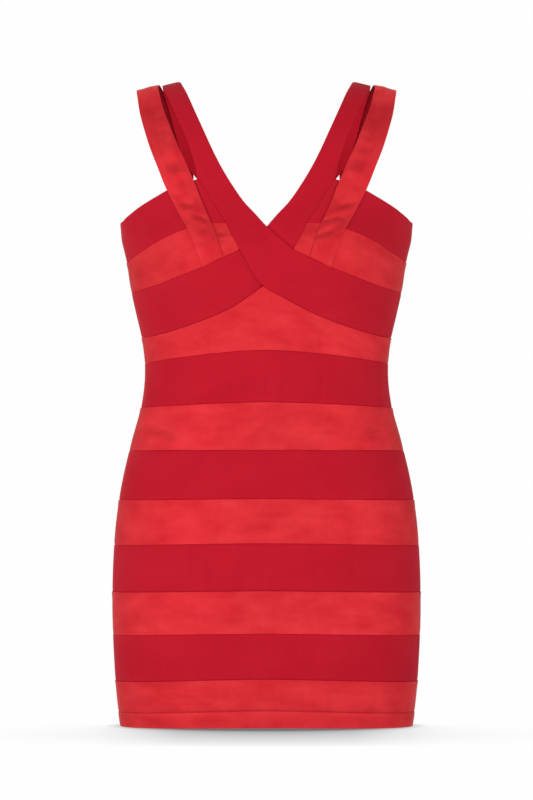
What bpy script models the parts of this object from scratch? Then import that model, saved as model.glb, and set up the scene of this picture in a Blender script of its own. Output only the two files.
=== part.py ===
"""Cocktail dress with crossed V-neck bands, filled out to its worn shape.

Horizontal bands of matt crepe and glossy satin go round a general figure.  Two crepe
crossovers come down from the shoulders, cross at the centre front and run under the
bust to the side seams.  A satin strap lies on each side of the bust and goes over the
shoulder.  The back carries the same bands in two halves, closed by a concealed zip.

Metres, +Z up, the front faces -Y, +X is the wearer's left.  The origin is midway
between the shoulder straps, at the height of their inner faces, where the wearer
holds the dress up.
"""

import math
from collections import namedtuple

import bmesh
import bpy
import numpy as np
from mathutils import Matrix

# ---------------------------------------------------------------- driving dimensions
WALL = 0.0015               # thickness of the cloth as built
SEAM_GAP = 0.0003           # between two pieces that meet at a seam
LAP_GAP = 0.0005            # under a piece that lies on another one
LIFT = WALL + LAP_GAP       # how far a strap that lies on the bodice is moved out
SINK = WALL + 0.0010        # how far the lower crossover is pressed in at the crossing
SIDE_SEAM = math.radians(78.0)      # side seams, a little in front of the body's sides
SHOULDER_Z = WALL           # outer face of the straps where they cross the shoulder
ARCH_FOOT_Z = -0.140        # below this the figure is a tube, above it the chest leans back
FRONT_FLATNESS = 0.80       # 1 is an ellipse, less is flatter across the front
BACK_FLATNESS = 0.85
SHOULDER_SLOPE = 0.24       # fall of the shoulder line for each metre outward
SHOULDER_SLOPE_FROM = 0.105     # the slope starts this far from the middle
HEM_Z = -0.751

# Columns of the tables below.
Section = namedtuple("Section", "z half_width front_depth back_depth")
Rung = namedtuple("Rung", "outer_x outer_z inner_x inner_z")
Place = namedtuple("Place", "x z")
Seam = namedtuple("Seam", "below side_z front_z back_z")

# The general figure, a row for each section.
FIGURE = [Section(*row) for row in (
    (0.000, 0.1850, 0.1070, 0.0930),
    (-0.100, 0.1850, 0.1070, 0.0950),
    (-0.140, 0.1780, 0.1075, 0.0960),
    (-0.1675, 0.1714, 0.1090, 0.0980),
    (-0.184, 0.1699, 0.1103, 0.0990),
    (-0.207, 0.1645, 0.1115, 0.0995),
    (-0.243, 0.1589, 0.1080, 0.0970),
    (-0.270, 0.1530, 0.1040, 0.0925),
    (-0.301, 0.1460, 0.0995, 0.0860),
    (-0.336, 0.1425, 0.0970, 0.0830),
    (-0.372, 0.1455, 0.0980, 0.0890),
    (-0.419, 0.1578, 0.1030, 0.1040),
    (-0.466, 0.1689, 0.1085, 0.1190),
    (-0.512, 0.1760, 0.1125, 0.1290),
    (-0.559, 0.1795, 0.1145, 0.1325),
    (-0.606, 0.1806, 0.1140, 0.1300),
    (-0.677, 0.1783, 0.1120, 0.1240),
    (-0.724, 0.1748, 0.1105, 0.1210),
    (-0.751, 0.1713, 0.1100, 0.1200),
)]

# Shape that the darts and the crossed bands give the bust.
CUP_X = 0.085
CUP_Z = -0.205
CUP_SPREAD = 0.040
CUP_SPREAD_INWARD = 0.078       # the cloth is taut across the middle, with no hollow
CUP_RISE = 0.022

# One crossover, from the shoulder at -X to the side seam at +X, a row for each section.
# The other one is its mirror image.
CROSSOVER = [Rung(*row) for row in (
    (-0.1225, 0.0000, -0.1015, 0.0000),
    (-0.1218, -0.0021, -0.0998, -0.0021),
    (-0.1200, -0.0084, -0.0965, -0.0084),
    (-0.1090, -0.0327, -0.0855, -0.0327),
    (-0.0930, -0.0700, -0.0690, -0.0700),
    (-0.0832, -0.1000, -0.0547, -0.1000),
    (-0.0787, -0.1185, -0.0413, -0.1230),
    (-0.0700, -0.1325, -0.0265, -0.1445),
    (-0.0590, -0.1502, -0.0130, -0.1592),
    (-0.0465, -0.1705, 0.0000, -0.1735),
    (-0.0390, -0.1860, 0.0155, -0.1875),
    (-0.0306, -0.2006, 0.0306, -0.2006),
    (-0.0165, -0.2265, 0.0455, -0.2080),
    (0.0000, -0.2440, 0.0600, -0.2148),
    (0.0185, -0.2553, 0.0740, -0.2208),
    (0.0375, -0.2655, 0.0870, -0.2260),
    (0.0560, -0.2745, 0.1000, -0.2307),
    (0.0760, -0.2822, 0.1140, -0.2355),
    (0.0960, -0.2888, 0.1280, -0.2402),
    (0.1155, -0.2945, 0.1405, -0.2434),
    (0.1318, -0.2982, 0.1490, -0.2453),
    (0.1428, -0.2995, 0.1548, -0.2465),
)]
NECK_EDGE_ROW = 6           # the outer edge leaves the top edge of the bust here
TOP_SEAM_ROW = 9            # the outer edge meets the upper bust seam, the inner one the V
CROSSING_ROW = 11           # the outer edge meets the other crossover's inner edge
PEAK_ROW = 13               # the outer edges of both cross at the middle
LAP_KEPT = 0.006            # the lower crossover stays sunk this far past the upper one
LAP_RAMP = 0.012            # and comes back to the surface over this length
CROSSOVER_SLANT = math.radians(40.0)    # of a crossover near the crossing

# Satin strap at -X, from the shoulder down to the seam under the bust panel.
SATIN_STRAP = [Rung(*row) for row in (
    (-0.1520, 0.0000, -0.1238, 0.0000),
    (-0.1518, -0.0021, -0.1238, -0.0021),
    (-0.1508, -0.0084, -0.1236, -0.0084),
    (-0.1468, -0.0327, -0.1185, -0.0327),
    (-0.1370, -0.0700, -0.1063, -0.0700),
    (-0.1265, -0.1000, -0.0932, -0.1000),
    (-0.1170, -0.1250, -0.0820, -0.1250),
    (-0.1075, -0.1450, -0.0740, -0.1445),
    (-0.0985, -0.1630, -0.0672, -0.1610),
    (-0.0900, -0.1800, -0.0612, -0.1745),
    (-0.0842, -0.1950, -0.0560, -0.1880),
    (-0.0800, -0.2090, -0.0525, -0.1995),
    (-0.0768, -0.2216, -0.0500, -0.2100),
)]

# Seam between the top crepe piece and the satin bust panel, at +X.
TOP_SEAM = [Place(*row) for row in (
    (0.0465, -0.1705),
    (0.0650, -0.1709),
    (0.0820, -0.1737),
    (0.1000, -0.1792),
    (0.1165, -0.1860),
    (0.1320, -0.1936),
    (0.1450, -0.2016),
    (0.1597, -0.2110),
)]

# Top edge of the bust, from the crossover out to the underarm corner, at +X.
NECK_EDGE = [Place(*row) for row in (
    (0.0787, -0.1185),
    (0.1000, -0.1248),
    (0.1155, -0.1310),
    (0.1270, -0.1373),
    (0.1390, -0.1440),
    (0.1500, -0.1505),
    (0.1590, -0.1568),
    (0.1680, -0.1640),
)]

# The level seams, a row for each: what lies below it, and its height at three places.
LEVEL_SEAMS = [Seam(*row) for row in (
    ("waist_crepe", -0.3290, -0.3155, -0.3290),
    ("waist_satin", -0.3812, -0.3753, -0.3812),
    ("high_hip_crepe", -0.4310, -0.4305, -0.4310),
    ("high_hip_satin", -0.4887, -0.4867, -0.4887),
    ("hip_crepe", -0.5411, -0.5377, -0.5411),
    ("hip_satin", -0.5957, -0.5921, -0.5957),
    ("thigh_crepe", -0.6456, -0.6413, -0.6456),
    ("hem_satin", -0.6998, -0.6935, -0.6998),
    ("nothing", HEM_Z, HEM_Z, HEM_Z),
)]

# The seams of the upper back, a row for each, level with the front ones at the side.
BACK_TOP_SEAMS = [Seam(*row) for row in (
    ("top_crepe", -0.1640, None, -0.1700),
    ("bust_satin", -0.2110, None, -0.2110),
    ("underbust_crepe", -0.2465, None, -0.2480),
    ("underbust_satin", -0.2995, None, -0.2985),
)]

# Straps of the back at +X, from the shoulder down to the top edge of the back.
BACK_CREPE_STRAP = [Rung(*row) for row in (
    (0.1225, 0.0000, 0.1015, 0.0000),
    (0.1222, -0.0021, 0.0998, -0.0021),
    (0.1212, -0.0084, 0.0962, -0.0084),
    (0.1140, -0.0327, 0.0842, -0.0327),
    (0.1030, -0.0700, 0.0670, -0.0700),
    (0.0910, -0.0950, 0.0540, -0.0960),
    (0.0800, -0.1105, 0.0400, -0.1175),
    (0.0680, -0.1340, 0.0230, -0.1410),
    (0.0505, -0.1700, 0.0025, -0.1700),
)]
BACK_SATIN_STRAP = [Rung(*row) for row in (
    (0.1520, 0.0000, 0.1215, 0.0000),
    (0.1518, -0.0021, 0.1210, -0.0021),
    (0.1510, -0.0084, 0.1190, -0.0084),
    (0.1468, -0.0327, 0.1110, -0.0327),
    (0.1370, -0.0700, 0.0995, -0.0700),
    (0.1275, -0.0950, 0.0903, -0.0950),
    (0.1215, -0.1100, 0.0880, -0.1100),
    (0.1120, -0.1340, 0.0825, -0.1340),
    (0.1050, -0.1580, 0.0755, -0.1580),
    (0.1010, -0.1800, 0.0720, -0.1800),
)]

SEAM_BOW = 1.5              # how the level seams fall from the middle to the sides
BACK_LEVEL_REACH = math.radians(24.0)   # behind the side seam, to reach the back's level

# How finely the walls are divided.
FRONT_COLUMNS = 28
BACK_COLUMNS = 12
BAND_ROWS = 2
STRAP_COLUMNS = 4
CROSSOVER_COLUMNS_ACROSS = 6
STRAP_SPLITS = 2            # of each stretch between two rungs
SEAM_SPLITS = 4             # of each stretch between two places

# Concealed zip in the centre back.
ZIP_TOP_Z = -0.172
ZIP_FOOT_Z = -0.520
ZIP_TAPE_WIDTH = 0.024
ZIP_TAPE_THICKNESS = 0.0010
ZIP_TAPE_ROWS = 20
ZIP_TAPE_DEPTH = WALL + 0.0008      # below the outer face of the cloth
SLIDER_WIDTH = 0.0056
SLIDER_LENGTH = 0.0090
SLIDER_THICKNESS = 0.0022
SLIDER_DROP = 0.0070        # the slider's middle is this far below the top of the zip
BRIDGE_WIDTH = 0.0018
BRIDGE_LENGTH = 0.0056
BRIDGE_HEIGHT = 0.0026
BRIDGE_WINDOW_LENGTH = 0.0036
BRIDGE_WINDOW_HEIGHT = 0.0017
PULL_THICKNESS = 0.0010
PULL_EYE_WIDTH = 0.0064
PULL_EYE_BAR = 0.0010
PULL_WINDOW_WIDTH = 0.0032
PULL_WINDOW_LENGTH = 0.0032
PULL_NECK_WIDTH = 0.0030
PULL_SHOULDER = 0.0015      # length of the taper from the eye to the neck
PULL_TIP_WIDTH = 0.0058
PULL_TIP_STEP = 15          # degrees between two points of the round tip
PULL_LENGTH = 0.0200

CREPE_COLOUR = (0.520, 0.0105, 0.0250, 1.0)
SATIN_COLOUR = (0.740, 0.0340, 0.0420, 1.0)
TAPE_COLOUR = (0.420, 0.0090, 0.0200, 1.0)
METAL_COLOUR = (0.480, 0.0120, 0.0220, 1.0)


# ---------------------------------------------------------------- the figure
def curve_through(keys, values, where):
    """Smooth curve through the given rows, with slopes taken from their neighbours."""
    keys = np.asarray(keys, float)
    values = np.asarray(values, float)
    slopes = np.gradient(values, keys)
    where = np.clip(where, keys[0], keys[-1])
    row = int(np.clip(np.searchsorted(keys, where) - 1, 0, len(keys) - 2))
    span = keys[row + 1] - keys[row]
    s = (where - keys[row]) / span
    start = (1 + 2 * s) * (1 - s) ** 2 * values[row] + s * (1 - s) ** 2 * span * slopes[row]
    end = s * s * (3 - 2 * s) * values[row + 1] - s * s * (1 - s) * span * slopes[row + 1]
    return start + end


def smooth_step(s):
    """0 below 0, 1 above 1, and a soft ramp between."""
    s = min(1.0, max(0.0, s))
    return s * s * (3 - 2 * s)


def figure_size(column, z):
    """One size of the figure at a height."""
    rows = FIGURE[::-1]
    return curve_through([row.z for row in rows], [getattr(row, column) for row in rows], z)


def rise_of(z):
    """Distance along the body's side view: z on the tube, the arc over the shoulder above."""
    if z <= ARCH_FOOT_Z:
        return z
    return ARCH_FOOT_Z - ARCH_FOOT_Z * math.asin(min(1.0, (z - ARCH_FOOT_Z) / -ARCH_FOOT_Z))


def lean_of(rise):
    """Angle reached on the shoulder arch, 0 on the tube and 90 degrees on the shoulder."""
    return max(0.0, (rise - ARCH_FOOT_Z) / -ARCH_FOOT_Z)


def place(x, z):
    """Turn and rise of a point that is given by its place in the front view."""
    return math.asin(x / figure_size("half_width", z)), rise_of(z)


def back_place(x, z):
    """The same, for a point of the back at +X."""
    turn, rise = place(x, z)
    return math.pi - turn, rise


def skin_point(turn, rise):
    """Point of the outer surface.  Turn 0 is the front, 90 degrees is +X."""
    lean = lean_of(rise)
    z = rise if lean == 0.0 else ARCH_FOOT_Z * (1 - math.sin(lean))
    x = figure_size("half_width", z) * math.sin(turn)
    facing = math.cos(turn)
    if facing >= 0.0:
        aside = (abs(x) - CUP_X) / (CUP_SPREAD if abs(x) > CUP_X else CUP_SPREAD_INWARD)
        away = (aside**2 + ((z - CUP_Z) / CUP_SPREAD) ** 2) / 2
        cup = CUP_RISE * math.exp(-away) * math.sqrt(facing)
        y = -figure_size("front_depth", z) * facing**FRONT_FLATNESS - cup
    else:
        y = figure_size("back_depth", z) * (-facing) ** BACK_FLATNESS
    fall = SHOULDER_SLOPE * max(0.0, abs(x) - SHOULDER_SLOPE_FROM) * math.sin(lean)
    return np.array((x, y * math.cos(lean), z + SHOULDER_Z * math.sin(lean) - fall))


def skin_normal(turn, rise):
    """Outward direction of the surface."""
    step = 1e-4
    across = skin_point(turn + step, rise) - skin_point(turn - step, rise)
    up = skin_point(turn, rise + step) - skin_point(turn, rise - step)
    normal = np.cross(across, up)
    return normal / np.linalg.norm(normal)


def cloth_point(turn, rise, out=0.0):
    """Point of the outer surface, moved out."""
    return skin_point(turn, rise) + out * skin_normal(turn, rise)


# ---------------------------------------------------------------- edges and grids
def mirrored(path):
    """The same path on the other side of the body."""
    return [(-turn, rise) for turn, rise in path]


def table_path(rows, splits, lifter=place):
    """Path through rows of x and z, each stretch split into equal parts."""
    places = [lifter(row.x, row.z) for row in rows]
    keys = range(len(places))
    count = (len(places) - 1) * splits
    turns = [p[0] for p in places]
    rises = [p[1] for p in places]
    steps = [i / splits for i in range(count + 1)]
    return [(curve_through(keys, turns, s), curve_through(keys, rises, s)) for s in steps]


def evenly(path, count):
    """The path read again at evenly spaced places."""
    keys = np.linspace(0.0, 1.0, len(path))
    marks = np.linspace(0.0, 1.0, count + 1)
    turns = np.interp(marks, keys, [p[0] for p in path])
    rises = np.interp(marks, keys, [p[1] for p in path])
    return list(zip(turns, rises))


def edge_paths(rungs, splits, lifter=place):
    """Outer and inner edge of a strip that is given by its rungs."""
    outer = table_path([Place(rung.outer_x, rung.outer_z) for rung in rungs], splits, lifter)
    inner = table_path([Place(rung.inner_x, rung.inner_z) for rung in rungs], splits, lifter)
    return outer, inner


def ribbon_grid(start_edge, end_edge, count):
    """Grid of a strip that is ruled between its two edges."""
    grid = []
    for (turn_a, rise_a), (turn_b, rise_b) in zip(start_edge, end_edge):
        shares = [i / count for i in range(count + 1)]
        grid.append([(turn_a + (turn_b - turn_a) * s, rise_a + (rise_b - rise_a) * s) for s in shares])
    return grid


def panel_grid(top, bottom, first, last):
    """Grid of a panel between four edges: top and bottom run along, first and last down."""
    across = len(top) - 1
    down = len(first) - 1
    grid = []
    for j in range(down + 1):
        v = j / down
        row = []
        for i in range(across + 1):
            u = i / across
            point = []
            for k in range(2):
                ruled = (1 - v) * top[i][k] + v * bottom[i][k] + (1 - u) * first[j][k] + u * last[j][k]
                corners = (1 - u) * ((1 - v) * top[0][k] + v * bottom[0][k])
                corners += u * ((1 - v) * top[-1][k] + v * bottom[-1][k])
                point.append(ruled - corners)
            row.append(tuple(point))
        grid.append(row)
    return grid


def straight(start, end, count):
    """Straight path from one place to another."""
    marks = [i / count for i in range(count + 1)]
    return [tuple(start[k] + (end[k] - start[k]) * s for k in range(2)) for s in marks]


def drawn_in(points, distance):
    """The grid of points with its four edges moved inward by the same distance."""
    result = points.copy()
    for axis in (0, 1):
        edge_first = np.swapaxes(points, 0, axis)
        moved = np.swapaxes(result, 0, axis)
        for edge, inner in ((0, 1), (-1, -2)):
            along = np.gradient(edge_first[edge], axis=0)
            along /= np.linalg.norm(along, axis=1, keepdims=True)
            inward = edge_first[inner] - edge_first[edge]
            inward -= along * np.sum(inward * along, axis=1, keepdims=True)
            inward /= np.linalg.norm(inward, axis=1, keepdims=True)
            moved[edge] += distance * inward
    return result


# ---------------------------------------------------------------- objects
def make_material(name, colour, roughness, metallic=0.0):
    material = bpy.data.materials.new(name)
    material.use_nodes = True
    shader = material.node_tree.nodes["Principled BSDF"]
    shader.inputs["Base Color"].default_value = colour
    shader.inputs["Roughness"].default_value = roughness
    shader.inputs["Metallic"].default_value = metallic
    return material


def cloth_wall(name, grid, material, out=None, wall=WALL):
    """A piece of cloth: an open grid laid on the figure, with Solidify for its wall."""
    points = np.array([
        [cloth_point(turn, rise, out(turn, rise) if out else 0.0) for turn, rise in row]
        for row in grid
    ])
    points = drawn_in(points, SEAM_GAP / 2)
    down, across = points.shape[0] - 1, points.shape[1] - 1
    bm = bmesh.new()
    bmesh.ops.create_grid(bm, x_segments=across, y_segments=down, size=1.0)
    for vertex in bm.verts:
        column = round((vertex.co.x + 1) / 2 * across)
        row = round((vertex.co.y + 1) / 2 * down)
        vertex.co = points[row, column]
    bm.faces.ensure_lookup_table()
    middle = bm.faces[len(bm.faces) // 2]
    middle.normal_update()
    turn, rise = grid[down // 2][across // 2]
    if middle.normal.dot(skin_normal(turn, rise).tolist()) < 0:
        bmesh.ops.reverse_faces(bm, faces=bm.faces)
    mesh = bpy.data.meshes.new(name)
    bm.to_mesh(mesh)
    bm.free()
    mesh.shade_smooth()
    piece = add_part(name, mesh, material)
    solidify = piece.modifiers.new("Wall", "SOLIDIFY")
    solidify.thickness = wall
    solidify.offset = -1.0
    solidify.use_even_offset = True
    return piece


def add_part(name, data, material):
    """A named object with its material, in the dress's collection."""
    piece = bpy.data.objects.new(name, data)
    data.materials.append(material)
    dress.objects.link(piece)
    return piece


# ---------------------------------------------------------------- front
def crossover_edges():
    """Outer and inner edge of the crossover that starts at -X."""
    outer, inner = edge_paths(CROSSOVER, STRAP_SPLITS)
    outer[-1] = (SIDE_SEAM, outer[-1][1])
    inner[-1] = (SIDE_SEAM, inner[-1][1])
    return outer, inner


def front_view(path):
    """x and z of each place of a path."""
    places = np.array([skin_point(turn, rise) for turn, rise in path])
    return places[:, 0], places[:, 2]


def sunk_under(upper_outer, upper_inner):
    """How far the lower crossover is pressed in where the upper one lies on it."""
    from_row = NECK_EDGE_ROW * STRAP_SPLITS
    low_x, low_z = front_view(upper_outer[from_row:])
    high_x, high_z = front_view(upper_inner)

    def out(turn, rise):
        x, _, z = skin_point(turn, rise)
        above = z - np.interp(x, high_x, high_z)
        below = np.interp(x, low_x, low_z) - z
        outside = max(above, below) * math.cos(CROSSOVER_SLANT)
        return -SINK * (1 - smooth_step((outside - LAP_KEPT) / LAP_RAMP))

    return out


def build_crossovers():
    outer, inner = crossover_edges()
    grid = ribbon_grid(outer, inner, CROSSOVER_COLUMNS_ACROSS)
    cloth_wall("crossover_right", grid, crepe)
    other = ribbon_grid(mirrored(outer), mirrored(inner), CROSSOVER_COLUMNS_ACROSS)
    cloth_wall("crossover_left", other, crepe, out=sunk_under(outer, inner))


def build_bust(side, suffix):
    """Top crepe piece and satin bust panel of one side, +1 at +X."""
    outer, inner = crossover_edges()
    from_row = CROSSING_ROW * STRAP_SPLITS
    lower_seam = inner[from_row:]
    columns = len(lower_seam) - 1
    top_seam = evenly(table_path(TOP_SEAM, SEAM_SPLITS), columns)
    top_seam[-1] = (SIDE_SEAM, top_seam[-1][1])
    neck_edge = evenly(table_path(NECK_EDGE, SEAM_SPLITS), columns)
    neck_edge[-1] = (SIDE_SEAM, neck_edge[-1][1])
    beside_top = mirrored(outer[NECK_EDGE_ROW * STRAP_SPLITS:TOP_SEAM_ROW * STRAP_SPLITS + 1])
    beside_satin = mirrored(outer[TOP_SEAM_ROW * STRAP_SPLITS:from_row + 1])
    side_top = straight(neck_edge[-1], top_seam[-1], len(beside_top) - 1)
    side_satin = straight(top_seam[-1], lower_seam[-1], len(beside_satin) - 1)
    pieces = (
        ("top_crepe_front_", panel_grid(neck_edge, top_seam, beside_top, side_top), crepe),
        ("bust_satin_front_", panel_grid(top_seam, lower_seam, beside_satin, side_satin), satin),
    )
    for name, grid, material in pieces:
        if side < 0:
            grid = [mirrored(row) for row in grid]
        cloth_wall(name + suffix, grid, material)


def seam_rise(seam, turn):
    """Height of a level seam at a turn of the body."""
    if seam.front_z is not None and abs(turn) <= SIDE_SEAM:
        share = abs(math.sin(turn)) / math.sin(SIDE_SEAM)
        return seam.front_z + (seam.side_z - seam.front_z) * share**SEAM_BOW
    share = max(0.0, abs(turn) - SIDE_SEAM) / BACK_LEVEL_REACH
    return seam.side_z + (seam.back_z - seam.side_z) * smooth_step(share)


def seam_path(seam, start, end, count):
    turns = np.linspace(start, end, count + 1)
    return [(turn, rise_of(seam_rise(seam, turn))) for turn in turns]


def build_underbust_satin():
    """The satin panel that peaks where the crossovers cross."""
    outer, _ = crossover_edges()
    right_half = outer[PEAK_ROW * STRAP_SPLITS:]
    top = mirrored(right_half)[::-1] + right_half[1:]
    bottom = seam_path(LEVEL_SEAMS[0], -SIDE_SEAM, SIDE_SEAM, len(top) - 1)
    first = straight(top[0], bottom[0], BAND_ROWS + 1)
    last = straight(top[-1], bottom[-1], BAND_ROWS + 1)
    cloth_wall("underbust_satin_front", panel_grid(top, bottom, first, last), satin)


def cloth_of(name):
    return satin if "satin" in name else crepe


def build_bands():
    """The level bands: one piece across the front, two across the back."""
    halves = (
        ("front", -SIDE_SEAM, SIDE_SEAM, FRONT_COLUMNS),
        ("back_left", SIDE_SEAM, math.pi, BACK_COLUMNS),
        ("back_right", -math.pi, -SIDE_SEAM, BACK_COLUMNS),
    )
    back_seams = BACK_TOP_SEAMS + LEVEL_SEAMS
    for label, start, end, columns in halves:
        seams = LEVEL_SEAMS if label == "front" else back_seams
        for upper, lower in zip(seams, seams[1:]):
            top = seam_path(upper, start, end, columns)
            bottom = seam_path(lower, start, end, columns)
            first = straight(top[0], bottom[0], BAND_ROWS)
            last = straight(top[-1], bottom[-1], BAND_ROWS)
            name = f"{upper.below}_{label}"
            cloth_wall(name, panel_grid(top, bottom, first, last), cloth_of(name))


# ---------------------------------------------------------------- straps
def lifted(turn, rise):
    """A satin strap lies on the bodice and on the edge of the crepe strap beside it."""
    return LIFT


def build_straps():
    straps = (
        ("satin_strap_front_", SATIN_STRAP, place, -1, satin, lifted),
        ("satin_strap_back_", BACK_SATIN_STRAP, back_place, 1, satin, lifted),
        ("crepe_strap_back_", BACK_CREPE_STRAP, back_place, 1, crepe, None),
    )
    for name, rungs, lifter, side, material, out in straps:
        grid = ribbon_grid(*edge_paths(rungs, STRAP_SPLITS, lifter), STRAP_COLUMNS)
        other = [mirrored(row) for row in grid]
        cloth_wall(name + "left", grid if side > 0 else other, material, out=out)
        cloth_wall(name + "right", other if side > 0 else grid, material, out=out)


# ---------------------------------------------------------------- zip
def set_on_back(piece, z, stand, flat):
    """Stand an outline on the centre back, its x down: flat on the cloth, or edge on to it."""
    step = 0.002
    rise = skin_point(math.pi, z + step) - skin_point(math.pi, z - step)
    down = -rise / np.linalg.norm(rise)
    across = np.array((1.0, 0.0, 0.0))
    out = np.cross(across, down)
    axes = (down, across, np.cross(down, across)) if flat else (down, out, np.cross(down, out))
    origin = skin_point(math.pi, z) + out * stand
    rows = [[axis[i] for axis in axes] + [origin[i]] for i in range(3)]
    piece.matrix_world = Matrix(rows + [[0.0, 0.0, 0.0, 1.0]])


def build_zip_tape():
    """Both tapes of the closed zip, inside the back."""
    half = ZIP_TAPE_WIDTH / 2
    heights = np.linspace(ZIP_TOP_Z, ZIP_FOOT_Z, ZIP_TAPE_ROWS + 1)
    grid = []
    for z in heights:
        reach = half / figure_size("half_width", z)
        grid.append([(math.pi + reach * share, z) for share in (-1.0, -0.5, 0.0, 0.5, 1.0)])
    cloth_wall("zip_tape", grid, tape, out=lambda turn, rise: -ZIP_TAPE_DEPTH, wall=ZIP_TAPE_THICKNESS)


def flat_outline(name, loops, thickness):
    """A 2D outline with holes, filled and given its thickness."""
    outline = bpy.data.curves.new(name, "CURVE")
    outline.dimensions = "2D"
    outline.fill_mode = "BOTH"
    outline.extrude = thickness / 2
    for loop in loops:
        spline = outline.splines.new("POLY")
        spline.points.add(len(loop) - 1)
        spline.use_cyclic_u = True
        for point, (x, y) in zip(spline.points, loop):
            point.co = (x, y, 0.0, 1.0)
    return outline


def rectangle(low_x, low_y, high_x, high_y):
    return [(low_x, low_y), (high_x, low_y), (high_x, high_y), (low_x, high_y)]


def mesh_from(outline):
    """The outline as a welded mesh."""
    temporary = bpy.data.objects.new(outline.name, outline)
    dress.objects.link(temporary)
    graph = bpy.context.evaluated_depsgraph_get()
    mesh = bpy.data.meshes.new_from_object(temporary.evaluated_get(graph))
    bpy.data.objects.remove(temporary)
    bm = bmesh.new()
    bm.from_mesh(mesh)
    bmesh.ops.remove_doubles(bm, verts=bm.verts, dist=1e-6)
    bm.to_mesh(mesh)
    bm.free()
    return mesh


def build_zip_slider():
    """Slider body with the bridge that carries the pull, each a side view as an outline."""
    half = SLIDER_LENGTH / 2
    bridge = BRIDGE_LENGTH / 2
    window = BRIDGE_WINDOW_LENGTH / 2
    low = SLIDER_THICKNESS
    body = flat_outline("zip_slider", [rectangle(-half, 0.0, half, low)], SLIDER_WIDTH)
    arch = flat_outline("zip_bridge", [
        rectangle(-bridge, low / 2, bridge, low + BRIDGE_HEIGHT),
        rectangle(-window, low, window, low + BRIDGE_WINDOW_HEIGHT),
    ], BRIDGE_WIDTH)
    slider = add_part("zip_slider", mesh_from(body), metal)
    bridge_piece = bpy.data.objects.new("zip_bridge", mesh_from(arch))
    cutters.objects.link(bridge_piece)
    bridge_piece.hide_render = True
    bridge_piece.display_type = "WIRE"
    for piece in (slider, bridge_piece):
        set_on_back(piece, ZIP_TOP_Z - SLIDER_DROP, SEAM_GAP, flat=False)
    union = slider.modifiers.new("Bridge", "BOOLEAN")
    union.operation = "UNION"
    union.object = bridge_piece


def build_zip_pull():
    """Pull tab, hanging from the bar of its eye, which passes under the bridge."""
    eye = PULL_EYE_WIDTH / 2
    window = PULL_WINDOW_WIDTH / 2
    neck = PULL_NECK_WIDTH / 2
    tip = PULL_TIP_WIDTH / 2
    bar = PULL_EYE_BAR / 2
    eye_end = bar + PULL_WINDOW_LENGTH + PULL_EYE_BAR
    neck_from = eye_end + PULL_SHOULDER
    round_from = PULL_LENGTH - tip
    tip_arc = [math.radians(a) for a in range(90 - PULL_TIP_STEP, -90, -PULL_TIP_STEP)]
    outline = [(-bar, -eye), (eye_end, -eye), (neck_from, -neck), (round_from, -tip)]
    outline += [(round_from + tip * math.cos(a), -tip * math.sin(a)) for a in tip_arc]
    outline += [(round_from, tip), (neck_from, neck), (eye_end, eye), (-bar, eye)]
    hole = rectangle(bar, -window, bar + PULL_WINDOW_LENGTH, window)
    tab = flat_outline("zip_pull", [outline, hole], PULL_THICKNESS)
    pull = add_part("zip_pull", mesh_from(tab), metal)
    stand = SEAM_GAP + SLIDER_THICKNESS + BRIDGE_WINDOW_HEIGHT / 2
    set_on_back(pull, ZIP_TOP_Z - SLIDER_DROP, stand, flat=True)


# ---------------------------------------------------------------- the dress
for leftover in list(bpy.data.objects):
    bpy.data.objects.remove(leftover)

dress = bpy.data.collections.new("cocktail_dress")
cutters = bpy.data.collections.new("cutters")
bpy.context.scene.collection.children.link(dress)
bpy.context.scene.collection.children.link(cutters)

crepe = make_material("crepe", CREPE_COLOUR, 0.75)
satin = make_material("satin", SATIN_COLOUR, 0.35)
tape = make_material("zip_tape", TAPE_COLOUR, 0.80)
metal = make_material("zip_metal", METAL_COLOUR, 0.40, 0.6)

build_crossovers()
build_bust(1, "left")
build_bust(-1, "right")
build_underbust_satin()
build_bands()
build_straps()
build_zip_tape()
build_zip_slider()
build_zip_pull()
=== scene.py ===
import math

import bmesh
import bpy
import numpy as np
from mathutils import Matrix, Vector


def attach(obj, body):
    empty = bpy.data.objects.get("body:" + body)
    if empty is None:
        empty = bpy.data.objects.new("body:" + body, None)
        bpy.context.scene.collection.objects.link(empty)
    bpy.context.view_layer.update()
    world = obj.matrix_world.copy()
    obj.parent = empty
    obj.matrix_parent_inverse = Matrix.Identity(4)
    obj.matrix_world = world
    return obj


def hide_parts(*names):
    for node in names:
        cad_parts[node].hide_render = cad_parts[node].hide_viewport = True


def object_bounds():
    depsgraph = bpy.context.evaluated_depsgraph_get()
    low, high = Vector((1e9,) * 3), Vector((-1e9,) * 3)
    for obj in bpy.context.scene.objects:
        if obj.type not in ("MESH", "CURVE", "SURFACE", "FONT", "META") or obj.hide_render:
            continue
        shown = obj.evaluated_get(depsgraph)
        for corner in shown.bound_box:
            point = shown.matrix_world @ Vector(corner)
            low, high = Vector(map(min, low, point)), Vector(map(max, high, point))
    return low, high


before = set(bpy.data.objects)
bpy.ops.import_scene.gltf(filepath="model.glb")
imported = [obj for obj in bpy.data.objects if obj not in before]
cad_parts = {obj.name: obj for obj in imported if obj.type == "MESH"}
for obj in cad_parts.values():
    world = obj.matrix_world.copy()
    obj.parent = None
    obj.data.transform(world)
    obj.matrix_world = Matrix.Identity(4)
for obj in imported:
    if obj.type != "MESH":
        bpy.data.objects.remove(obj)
cadBox = [list(corner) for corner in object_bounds()]
print("frame loaded,", len(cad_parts), "nodes")

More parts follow.
